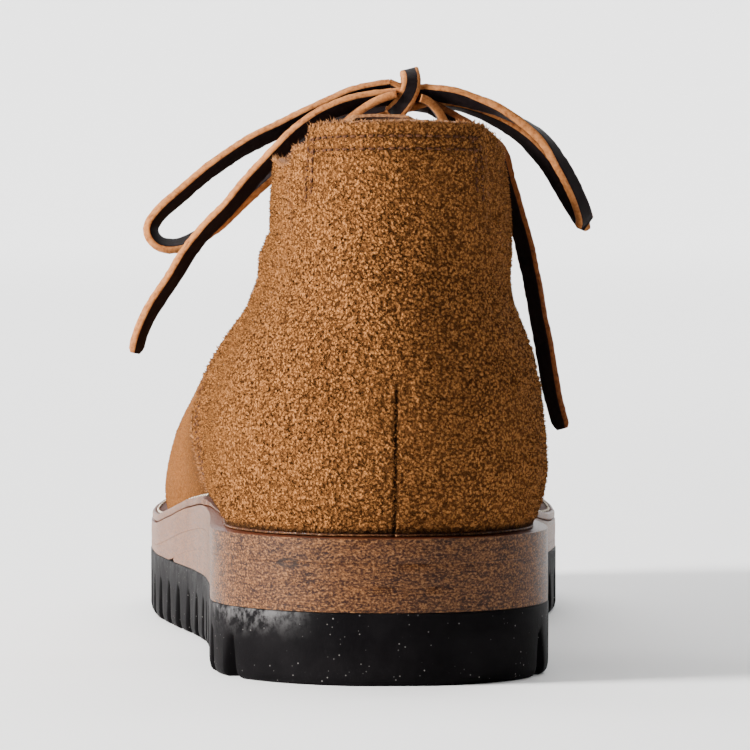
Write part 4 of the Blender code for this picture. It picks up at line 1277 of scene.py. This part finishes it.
def make_stitches(blocks, materials):
    """The rows of stitches that show: on the strip behind, along the quarters' edges and on the
    flange."""
    parts = []
    top = ALL_ROWS[-1]
    for side, seed in (("outer", 1), ("inner", 2)):
        strip_rows = STRIP_STITCHES[side]
        runs = [(turn, COLLAR_THREAD, np.full(40, turn), np.linspace(top - low, top - 0.45, 40))
                for turn, low in zip(strip_rows, STRIP_STITCH_DEEP)]
        runs += [(down, COLLAR_THREAD, np.linspace(0.0, strip_rows[0], 60), np.full(60, top - down))
                 for down in TOP_STITCHES]
        runs += [(back, FRONT_THREAD, np.full(90, 2.0 - back), np.linspace(1.1, top - 0.8, 90))
                 for back in EDGE_STITCHES]
        for own, thread, turns, rows in runs:
            parts.append(stitch_row(*quarter_line(blocks, side, turns, rows), *thread, seed + own))
    for side, sign in SIGN.items():
        at = end_spaced(WELT_FROM_Y, SOLE_LENGTH - WELT_IN - TIP, 260)
        x = centre(at) + sign * plan_half(at, side, WELT_IN)
        line = np.stack([x, at, feather(at) + FLANGE_THICK + 0.12], axis=1)
        outs = np.repeat(np.array([[0.0, 0.0, 1.0]]), len(at), axis=0)
        points, faces, kinds = stitch_row(line, outs, *WELT_THREAD, 0.3 * sign)
        parts.append((points, faces, [k + 2 for k in kinds]))
    points, faces, kinds = joined(parts)
    thing = add_mesh("stitches", points, faces, materials, kinds)


# ---- the tongue ----

def make_tongue(materials):
    """One bent strip under the facings."""
    rows, columns = 90, 37
    share = 1 - (1 - np.linspace(0, 1, rows)) ** 1.5
    across = read(TONGUE_FORM, "half", share)[:, None] * np.linspace(-1, 1, columns)[None, :]
    share = np.repeat((share * TONGUE_TOP)[:, None], columns, axis=1)
    top, normal = instep_out(share, across, np.full(across.shape, -TONGUE_BELOW))
    nap = fuzz(top, 0.12, 1.3, 2.0) + fuzz(top, 0.3, 14.0, 4.0)
    outside = top + normal * nap[..., None]
    under = top - normal * TONGUE_THICK
    points = np.concatenate([outside.reshape(-1, 3), under.reshape(-1, 3)])
    size = rows * columns
    faces = [tuple(f) for f in grid_faces(rows, columns)]
    faces += [tuple(f) for f in grid_faces(rows, columns, size, True)]
    half = len(faces) // 2
    grid = np.arange(size).reshape(rows, columns)
    rim = [*grid[0], *grid[1:, -1], *grid[-1, -2::-1], *grid[-2:0:-1, 0]]
    faces += [(a, a + size, b + size, b) for a, b in zip(rim, rim[1:] + rim[:1])]
    kinds = [SUEDE] * half + [INSIDE] * half + [RAW] * len(rim)
    thing = add_mesh("tongue_leather", points, faces, materials, kinds, 60)
    put_marks(thing)
    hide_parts("tongue")


# ---- the sole ----

LUG_PITCH = 12.6
LUG_FLAT = 6.4
LUG_HEIGHT = 9.5
FIRST_GROOVE = 21.0
LAST_GROOVE = 286.0
TOP_SHEET = 5.6
MIDDLE_SHEET = 5.2
THIN_SHEET = 1.7
SHEETS_CLOSE = 0.149
SHEET_WAVE = 0.05
TIP = 0.004
LUG_CORNER = 0.35
# The rubber's lowest rings: how far each is drawn in, and its height above the underside.
RUBBER_FOOT = ((1.5, 0.0), (0.75, 0.35), (0.28, 0.95), (0.0, 2.2))
RUBBER_END_ROUND = 1.5


def end_spaced(low, high, count):
    return low + (high - low) * (1 - np.cos(math.pi * np.arange(count) / (count - 1))) / 2


def slab(name, stations, layers, materials, node):
    """A sole layer: rings of the outline drawn in by each layer's inset, at each layer's height."""
    rings = []
    for height, inset in layers:
        y = np.clip(stations, inset + TIP, SOLE_LENGTH - inset - TIP)
        z = height(stations)
        left, right = (np.stack([centre(y) + sign * plan_half(y, side, inset), y, z], axis=1)
                       for side, sign in SIGN.items())
        rings.append(np.concatenate([left, right[::-1]]))
    size, count = len(rings[0]), len(stations)
    points = np.concatenate(rings)
    out = np.stack([points[:, 0], points[:, 1] - 150, points[:, 0] * 0], axis=1)
    bumps = fuzz(points, SHEET_WAVE, 6.0, 7.0) + fuzz(points, SHEET_WAVE * 0.8, 1.4, 2.0)
    points = points + unit(out) * bumps[:, None]
    faces = [f[1:] + f[:1] for f in tube_faces(len(rings), size, False)]
    top = (len(rings) - 1) * size
    for k in range(count - 1):
        faces.append((k + 1, size - 2 - k, size - 1 - k, k))
        faces.append((top + size - 1 - k, top + size - 2 - k, top + k + 1, top + k))
    thing = add_mesh(name, points, faces, materials, None, 45)
    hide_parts(node)


def sheet_split(y):
    return np.maximum(rubber_top(y) + GAP, midsole_top(y) - TOP_SHEET - MIDDLE_SHEET)


def sheet_layers(low, high, edge):
    """Rings of one sheet, with its cut edge slightly eased."""
    def between(share):
        return lambda y: mix(low(y), high(y), share)

    return ((low, 0.2 + edge), (lambda y: low(y) + edge * 0.8, 0.2), (between(0.35), 0.17),
            (between(0.68), 0.17), (lambda y: high(y) - edge * 0.8, 0.2), (high, 0.2 + edge))


def make_midsoles(materials):
    """Two full sheets of sole leather, and a third under the heel, nearly closed on each other."""
    stations = end_spaced(0.0, SOLE_LENGTH, 190)
    close = SHEETS_CLOSE

    def top_low(y):
        return np.maximum(midsole_top(y) - TOP_SHEET, rubber_top(y) + THIN_SHEET + 2 * GAP)

    def wedge_thick(y):
        return sheet_split(y) - rubber_top(y)

    slab("midsole_sheet_top", stations,
         sheet_layers(lambda y: top_low(y) - close, midsole_top, 0.08), materials, "midsole_top")
    middle = sheet_layers(lambda y: sheet_split(y) - close,
                          lambda y: top_low(y) - GAP + close, 0.03)
    slab("midsole_sheet_middle", stations, middle, materials, "midsole_middle")
    end = float(solve(lambda y: -wedge_thick(y), 60.0, 200.0, np.array(-(2 * GAP + 0.8))))
    wedge = sheet_layers(lambda y: rubber_top(y) + GAP - close,
                         lambda y: sheet_split(y) - GAP + close, 0.03)
    slab("heel_sheet", np.append(stations[stations < end - 3], end), wedge, materials, "heel_wedge")


def ripple_profile():
    """Places along the sole and the height of its underside there, with eased lug corners."""
    corners = [(0.0, 0.0)]
    groove = FIRST_GROOVE
    width = LUG_PITCH - LUG_FLAT
    while groove < LAST_GROOVE:
        corners += [(groove, 0.0), (groove + 0.22 * width, LUG_HEIGHT),
                    (groove + 0.58 * width, LUG_HEIGHT), (groove + width, 0.0)]
        groove += LUG_PITCH
    corners.append((SOLE_LENGTH, 0.0))
    corners = np.array(corners)
    eased = []
    for before, here, after in zip(corners, corners[1:], corners[2:]):
        for other in (before, after):
            step = (other - here) / np.linalg.norm(other - here)
            eased.append(tuple(here + step * LUG_CORNER))
    eased.sort()
    heel = end_spaced(0.0, 42.0, 90)[:45]
    toe = SOLE_LENGTH - end_spaced(0.0, 32.0, 60)[:28][::-1]
    line = [(y, 0.0) for y in heel if y < FIRST_GROOVE - 1] + eased
    line += [(y, 0.0) for y in toe if y > eased[-1][0] + 0.8]
    fine = []
    for a, b in zip(line[:-1], line[1:]):
        fine.append(a)
        steps = int(np.hypot(b[0] - a[0], b[1] - a[1]) / 2.4)
        for s in range(1, steps + 1):
            t = s / (steps + 1)
            fine.append((mix(a[0], b[0], t), mix(a[1], b[1], t)))
    fine.append(line[-1])
    return np.array(fine)


def make_outsole(materials):
    """The rubber: a section round each place of the lugs' profile."""
    y, underside = ripple_profile().T
    from_end = np.minimum(y, SOLE_LENGTH - y)
    end_round = 2.2 * (1 - np.sqrt(np.clip(from_end / RUBBER_END_ROUND, 0, 1)))
    low = spring(y) + np.maximum(underside, end_round)
    high = rubber_top(y)
    rows = [(inset, np.minimum(low + rise, high - 0.4)) for inset, rise in RUBBER_FOOT]
    rows += [(0.0, mix(low + 2.2, high, 0.5)), (0.0, high - 0.35), (0.3, high)]
    at = np.clip(y, TIP, SOLE_LENGTH - TIP)
    walls = []
    for side, sign in SIGN.items():
        half = plan_half(at, side, 0.0)
        walls.append([np.stack([centre(y) + sign * np.maximum(half - inset, 0.02), y, z], axis=1)
                      for inset, z in rows])
    points = np.stack(walls[0] + walls[1][::-1], axis=1).reshape(-1, 3)
    faces = [f[::-1] for f in tube_faces(len(y), 2 * len(rows))]
    thing = add_mesh("rubber_outsole", points, faces, materials, None, 40)
    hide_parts("outsole")


# ---- materials ----

class Look:
    """A principled material and small helpers for its node tree; lengths are in metres, in the
    boot's frame."""

    def __init__(self, name, **constants):
        self.material = bpy.data.materials.new(name)
        self.material.use_nodes = True
        self.tree = self.material.node_tree
        self.shader = self.tree.nodes["Principled BSDF"]
        self.place = self.made("TexCoord", "Object")
        for socket, value in constants.items():
            self.shader.inputs[socket.replace("_", " ")].default_value = value

    def link(self, source, target):
        if isinstance(source, bpy.types.NodeSocket):
            self.tree.links.new(source, target)
        elif target.type == "RGBA":
            target.default_value = (*source, 1.0)
        else:
            target.default_value = source

    def made(self, kind, output, inputs=(), **settings):
        """The output of a new node, with its settings and its inputs linked or set."""
        node = self.tree.nodes.new("ShaderNode" + kind)
        for key, value in settings.items():
            setattr(node, key, value)
        for socket, value in dict(inputs).items():
            self.link(value, node.inputs[socket])
        return node.outputs[output]

    def stretched(self, scale):
        """The boot's coordinates, scaled differently along x, y and z."""
        return self.made("Mapping", "Vector", {"Vector": self.place, "Scale": scale})

    def noise(self, scale, detail, rough, vector=None):
        return self.made("TexNoise", "Fac", {"Vector": vector or self.place, "Scale": scale,
                                             "Detail": detail, "Roughness": rough})

    def cells(self, scale):
        """Distance from the middle of the nearest of many small cells."""
        return self.made("TexVoronoi", "Distance", {"Vector": self.place, "Scale": scale})

    def spread(self, value, low, high, to_low=0.0, to_high=1.0):
        """A value's range from low to high, opened out and clamped."""
        return self.made("MapRange", "Result", {"Value": value, "From Min": low, "From Max": high,
                                                "To Min": to_low, "To Max": to_high})

    def math(self, operation, a, b=0.0):
        return self.made("Math", "Value", {0: a, 1: b}, operation=operation)

    def times(self, a, b):
        return self.math("MULTIPLY", a, b)

    def blend(self, factor, a, b):
        """Two colours mixed by a factor."""
        return self.made("Mix", 2, {0: factor, 6: a, 7: b}, data_type="RGBA")

    def attribute(self, name):
        return self.made("Attribute", "Fac", attribute_name=name)

    def axis(self, name):
        return self.made("SeparateXYZ", name, {0: self.place})

    def normal(self, name):
        """A part of the surface's own direction, in the boot's frame."""
        return self.made("SeparateXYZ", name, {0: self.made("NewGeometry", "Normal")})

    def finish(self, colour, roughness, *bumps):
        """Puts the colour and roughness on the shader, with bumps laid over each other: each a
        height, its depth in mm and its strength."""
        self.link(colour, self.shader.inputs["Base Color"])
        self.link(roughness, self.shader.inputs["Roughness"])
        below = {}
        for height, depth, strength in bumps:
            below = {"Normal": self.made("Bump", "Normal", {
                "Strength": strength, "Distance": depth * MM, "Height": height, **below})}
        for socket, value in below.items():
            self.link(value, self.shader.inputs[socket])
        return self.material


SUEDE_BASE = (0.290, 0.112, 0.0320)
SUEDE_PALE = (0.56, 0.228, 0.066)
SUEDE_HOLLOW_SHADE = (0.036, 0.011, 0.0028)
VAMP_PALE = (0.215, 0.078, 0.0200)
RAW_PALE = (0.29, 0.118, 0.036)
# the colour of the painted shade
PAINTED_SHADE_DARK = (0.010, 0.0034, 0.0013)


def suede_look(name):
    """Rough-out leather: small clumps of nap, with painted shade in the gaps between them."""
    look = Look(name, Sheen_Weight=0.03, Sheen_Roughness=0.5, Sheen_Tint=(1.0, 0.55, 0.25, 1.0),
                Specular_IOR_Level=0.03)
    clumps = look.cells(1350)
    grain = look.noise(3600, 2.0, 0.6)
    soft = look.noise(2000, 2.0, 0.6)
    patches = look.noise(30, 3.0, 0.55)
    # tone follows the bump heights: paler on tops, painted shade in gaps and hollows, partly own
    # tone
    tone = look.blend(look.spread(soft, 0.38, 0.64), SUEDE_BASE, SUEDE_PALE)
    for dark in (look.spread(clumps, 0.36, 0.64, 0.0, 0.86),
                 look.spread(soft, 0.33, 0.47, 0.74, 0.0),
                 look.spread(grain, 0.36, 0.50, 0.4, 0.0)):
        tone = look.blend(dark, tone, SUEDE_HOLLOW_SHADE)
    tone = look.blend(look.spread(patches, 0.36, 0.66, 0.0, 0.22), tone, SUEDE_BASE)
    smooth = look.times(look.attribute("smooth_side"), look.spread(soft, 0.3, 0.7, 0.8, 0.55))
    tone = look.blend(smooth, tone, VAMP_PALE)
    tone = look.blend(look.times(look.attribute("raw_edge"), 0.6), tone, RAW_PALE)
    # painted shade from its mark, in grooves, along stitches and beside edges
    tone = look.blend(look.times(look.attribute("painted_shade"), 0.94), tone, PAINTED_SHADE_DARK)
    height = look.math("SUBTRACT", soft, look.times(clumps, 0.75))
    return look.finish(tone, 0.95, (height, 1.3, 1.0), (grain, 0.30, 0.8))


def edge_look(name, base, deep, rough=0.85):
    """A fibrous cut edge of leather, or thread."""
    look = Look(name, Specular_IOR_Level=0.2)
    fibres = look.noise(1500, 3.0, 0.6)
    tone = look.blend(look.spread(fibres, 0.36, 0.62), deep, base)
    return look.finish(tone, rough, (fibres, 0.35, 0.7))


def smooth_leather_look(name, base, deep, rough):
    look = Look(name, Specular_IOR_Level=0.4)
    grain = look.noise(700, 3.0, 0.55)
    patches = look.noise(60, 3.0, 0.5)
    tone = look.blend(look.spread(patches, 0.35, 0.65), base, deep)
    tone = look.blend(look.spread(grain, 0.3, 0.6, 0.4, 0.0), tone, deep)
    rough = look.spread(grain, 0.3, 0.7, rough - 0.08, rough + 0.12)
    return look.finish(tone, rough, (grain, 0.12, 0.5))


# The midsoles' edge: streaks, patches, pores, flecks, forefoot's painted sheen, top face, blemish.
STREAK_DARK = (0.016, 0.0050, 0.0023)
STREAK_PALE = (0.110, 0.044, 0.0150)
PATCH_BROWN = (0.074, 0.027, 0.0095)
PORE_DARK = (0.009, 0.0032, 0.0018)
FLECK_PALE = (0.260, 0.118, 0.044)
FOREFOOT_PAINTED_SHEEN = (0.250, 0.112, 0.066)
TOP_RED = (0.060, 0.016, 0.007)
BLEMISH_DARK = (0.012, 0.006, 0.004)
BLEMISH_AT = {"X": -24.2, "Z": 27.6}
BLEMISH_HALF = {"X": 2.0, "Z": 1.0}

RUBBER_BLACK = (0.0018, 0.0015, 0.0018)
RUBBER_HAZE = (0.0048, 0.0042, 0.0046)
RUBBER_DUST = (0.30, 0.28, 0.27)
# wear and painted highlight at the heel's outer corner
RUBBER_WORN_HIGHLIGHT = (0.26, 0.25, 0.25)


def midsole_look():
    """Stacked sole leather, seen on its cut edge: brown streaks along the sheets and a fine dark
    grain."""
    look = Look("midsole_layers", Specular_IOR_Level=0.05, Coat_Weight=0.16, Coat_Roughness=0.2)
    streaks = look.noise(1.0, 4.0, 0.62, look.stretched((210, 210, 1300)))
    fine = look.noise(1.0, 3.0, 0.62, look.stretched((1500, 1500, 2300)))
    patches = look.noise(45, 3.0, 0.55)
    tone = look.blend(look.spread(streaks, 0.38, 0.60), STREAK_DARK, STREAK_PALE)
    tone = look.blend(look.spread(patches, 0.36, 0.66, 0.0, 0.4), tone, PATCH_BROWN)
    tone = look.blend(look.spread(fine, 0.37, 0.52, 0.92, 0.0), tone, PORE_DARK)
    tone = look.blend(look.spread(fine, 0.53, 0.64, 0.0, 0.55), tone, FLECK_PALE)
    # painted sheen: paler and pinker towards the forefoot, for the polished edge's shine
    tone = look.blend(look.spread(look.axis("Y"), -0.085, 0.0, 0.0, 0.25), tone, FOREFOOT_PAINTED_SHEEN)
    tone = look.blend(look.spread(look.normal("Z"), 0.55, 0.9), tone, TOP_RED)
    # a knot-like blemish on the outer side of the heel
    squares = []
    for name, at in BLEMISH_AT.items():
        off = look.math("SUBTRACT", look.axis(name), at * MM)
        off = look.math("DIVIDE", off, BLEMISH_HALF[name] * MM)
        squares.append(look.times(off, off))
    away = look.math("SQRT", look.math("ADD", *squares))
    ring = look.math("ABSOLUTE", look.math("SUBTRACT", away, 0.85))
    ring = look.spread(ring, 0.12, 0.5, 0.85, 0.0)
    near = look.spread(look.axis("Y"), -0.135, -0.12, 1.0, 0.0)
    tone = look.blend(look.times(ring, near), tone, BLEMISH_DARK)
    rough = look.spread(fine, 0.3, 0.7, 0.38, 0.56)
    return look.finish(tone, rough, (streaks, 0.24, 0.5), (fine, 0.30, 0.6))


def rubber_look():
    """Black rubber with pale specks, and wear with a painted highlight at the heel's outer corner.
    """
    look = Look("rubber_worn_painted_highlight", Specular_IOR_Level=0.02, Coat_Weight=0.02, Coat_Roughness=0.3)
    haze = look.noise(70, 4.0, 0.6)
    tone = look.blend(look.spread(haze, 0.42, 0.72), RUBBER_BLACK, RUBBER_HAZE)
    dust = look.times(look.spread(look.cells(640), 0.135, 0.07),
                      look.spread(look.noise(260, 2.0, 0.5), 0.46, 0.58))
    tone = look.blend(look.times(dust, 0.45), tone, RUBBER_DUST)
    # partly wear, partly a painted highlight: paler at the heel's outer corner near the top
    side = look.spread(look.axis("X"), -0.018, -0.034)
    height = look.spread(look.axis("Z"), 0.0085, 0.0162)
    painted_light = look.times(look.times(side, look.times(height, height)),
                      look.spread(look.noise(420, 4.0, 0.65), 0.42, 0.62))
    painted_light = look.times(painted_light, look.spread(look.axis("Y"), -0.140, -0.112, 1.0, 0.16))
    tone = look.blend(look.times(painted_light, 0.5), tone, RUBBER_WORN_HIGHLIGHT)
    rough = look.spread(haze, 0.35, 0.7, 0.52, 0.70)
    return look.finish(tone, rough, (look.noise(1300, 3.0, 0.6), 0.10, 0.5))


def lace_look(name, base, deep, rough, depth):
    """Flat leather lace, paler where it is worn."""
    look = Look(name, Specular_IOR_Level=0.07)
    grain = look.noise(1100, 3.0, 0.6)
    tone = look.blend(look.spread(grain, 0.26, 0.60), deep, base)
    wear = look.spread(look.noise(90, 3.0, 0.6), 0.50, 0.74, 0.0, 0.4)
    tone = look.blend(wear, tone, tuple(min(1.0, c * 1.6) for c in base))
    rough = look.spread(grain, 0.3, 0.7, rough - 0.06, rough + 0.1)
    return look.finish(tone, rough, (grain, depth, 0.6))


def plain_look(name, base, rough):
    return Look(name, Specular_IOR_Level=0.3).finish(base, rough)


# ---- the room ----

ROOM = 6.0
ROOM_CURVE = 0.9
ROOM_HEIGHT = 4.5


def make_room():
    """A round white floor that curves up into a wall all the way round."""
    bend = np.linspace(0, math.pi / 2, 14)
    profile = [(1.2, 0.0), (3.0, 0.0)]
    inner = ROOM - ROOM_CURVE
    profile += [(inner + ROOM_CURVE * math.sin(a), ROOM_CURVE - ROOM_CURVE * math.cos(a))
                for a in bend]
    profile.append((ROOM, ROOM_HEIGHT))
    turns = np.linspace(0, 2 * math.pi, 73)[:-1]
    points = [(r * math.cos(a), r * math.sin(a), z) for r, z in profile for a in turns]
    faces = [tuple(range(len(turns)))] + tube_faces(len(profile), len(turns), False)
    mesh = bpy.data.meshes.new("floor")
    mesh.from_pydata(points, [], faces)
    mesh.shade_smooth()
    mesh.materials.append(plain_look("white_floor", (0.90, 0.90, 0.90), 0.9))
    floor = new_object("floor", mesh)


# Lamps: place, aim, width, height, power and colour.
LAMPS = {
    "key": ((-1.52, -0.46, 0.60), (0, -0.05, 0.06), 0.5, 0.5, 122, (1.0, 0.985, 0.96)),
    "fill": ((1.2, -1.1, 0.7), (0, -0.05, 0.06), 0.9, 0.9, 1.0, (1, 1, 1)),
    "overhead": ((0.0, 0.25, 1.6), (0, 0.1, 0.0), 1.8, 1.2, 4, (1, 1, 1)),
    "behind": ((0.0, 1.25, 2.3), (0, 2.4, 0.3), 3.2, 1.0, 120, (1, 1, 1)),
    "backdrop": ((0.0, 4.0, 3.4), (0, 6.0, 0.6), 6.0, 1.4, 330, (1, 1, 1)),
}
WORLD_STRENGTH = 0.10


def make_lights():
    for name, (place, aim, width, height, power, colour) in LAMPS.items():
        data = bpy.data.lights.new(name, "AREA")
        data.shape = "RECTANGLE"
        data.size = width
        data.size_y = height
        data.energy = power
        data.color = colour
        thing = new_object(name, data)
        thing.location = place
        thing.rotation_euler = facing(place, aim)
    world = bpy.data.worlds.new("studio")
    world.use_nodes = True
    background = world.node_tree.nodes["Background"]
    background.inputs["Color"].default_value = (1, 1, 1, 1)
    background.inputs["Strength"].default_value = WORLD_STRENGTH
    bpy.context.scene.world = world


def main():
    make_camera()
    face = lace_look("lace_face", (0.0105, 0.0068, 0.0072), (0.0045, 0.0028, 0.0032), 0.55, 0.14)
    edge = lace_look("lace_edge", (0.38, 0.150, 0.048), (0.15, 0.044, 0.012), 0.75, 0.22)
    # a darker copy of the lace's edge for the inner end: painted shade
    painted_light = lace_look("lace_edge_painted_shade", (0.155, 0.048, 0.0145), (0.060, 0.016, 0.005), 0.8, 0.22)
    laces = [face, edge]
    make_free_lace("lace_end_outer", laces)
    make_free_lace("lace_loop_outer", laces)
    make_free_lace("lace_loop_inner", laces)
    make_free_lace("lace_end_inner", [face, painted_light])
    make_knot(laces)
    make_crossings(laces)
    suede = suede_look("rough_leather")
    inside = smooth_leather_look("inner_leather", (0.070, 0.026, 0.011), (0.034, 0.012, 0.005), 0.7)
    raw = edge_look("raw_edge", (0.33, 0.138, 0.044), (0.10, 0.034, 0.010))
    layers = midsole_look()
    ledge = edge_look("ledge", (0.075, 0.022, 0.010), (0.022, 0.006, 0.003), 0.8)
    blocks = {"outer": quarter_block("outer"), "inner": quarter_block("inner"),
              "vamp_outer": vamp_block("outer"), "vamp_inner": vamp_block("inner")}
    upper = make_upper(blocks, [suede, inside, raw, layers, ledge])
    punch_holes(upper)
    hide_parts("upper")
    make_nap(blocks, suede)
    make_fibres(blocks, raw)
    thread = edge_look("thread", (0.110, 0.038, 0.012), (0.040, 0.012, 0.004), 0.8)
    # plain dark: painted shade in the needle holes
    hole_shade = plain_look("needle_hole_painted_shade", (0.010, 0.0035, 0.0015), 0.9)
    pale_thread = edge_look("welt_thread", (0.66, 0.58, 0.48), (0.36, 0.28, 0.20), 0.7)
    make_stitches(blocks, [thread, hole_shade, pale_thread, hole_shade])
    make_tongue([suede, inside, raw])
    make_midsoles([layers])
    make_outsole([rubber_look()])
    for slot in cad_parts["insole"].material_slots:
        slot.material = smooth_leather_look("insole_leather_worn", (0.20, 0.095, 0.042),
                                            (0.085, 0.036, 0.015), 0.55)
    make_room()
    make_lights()


main()
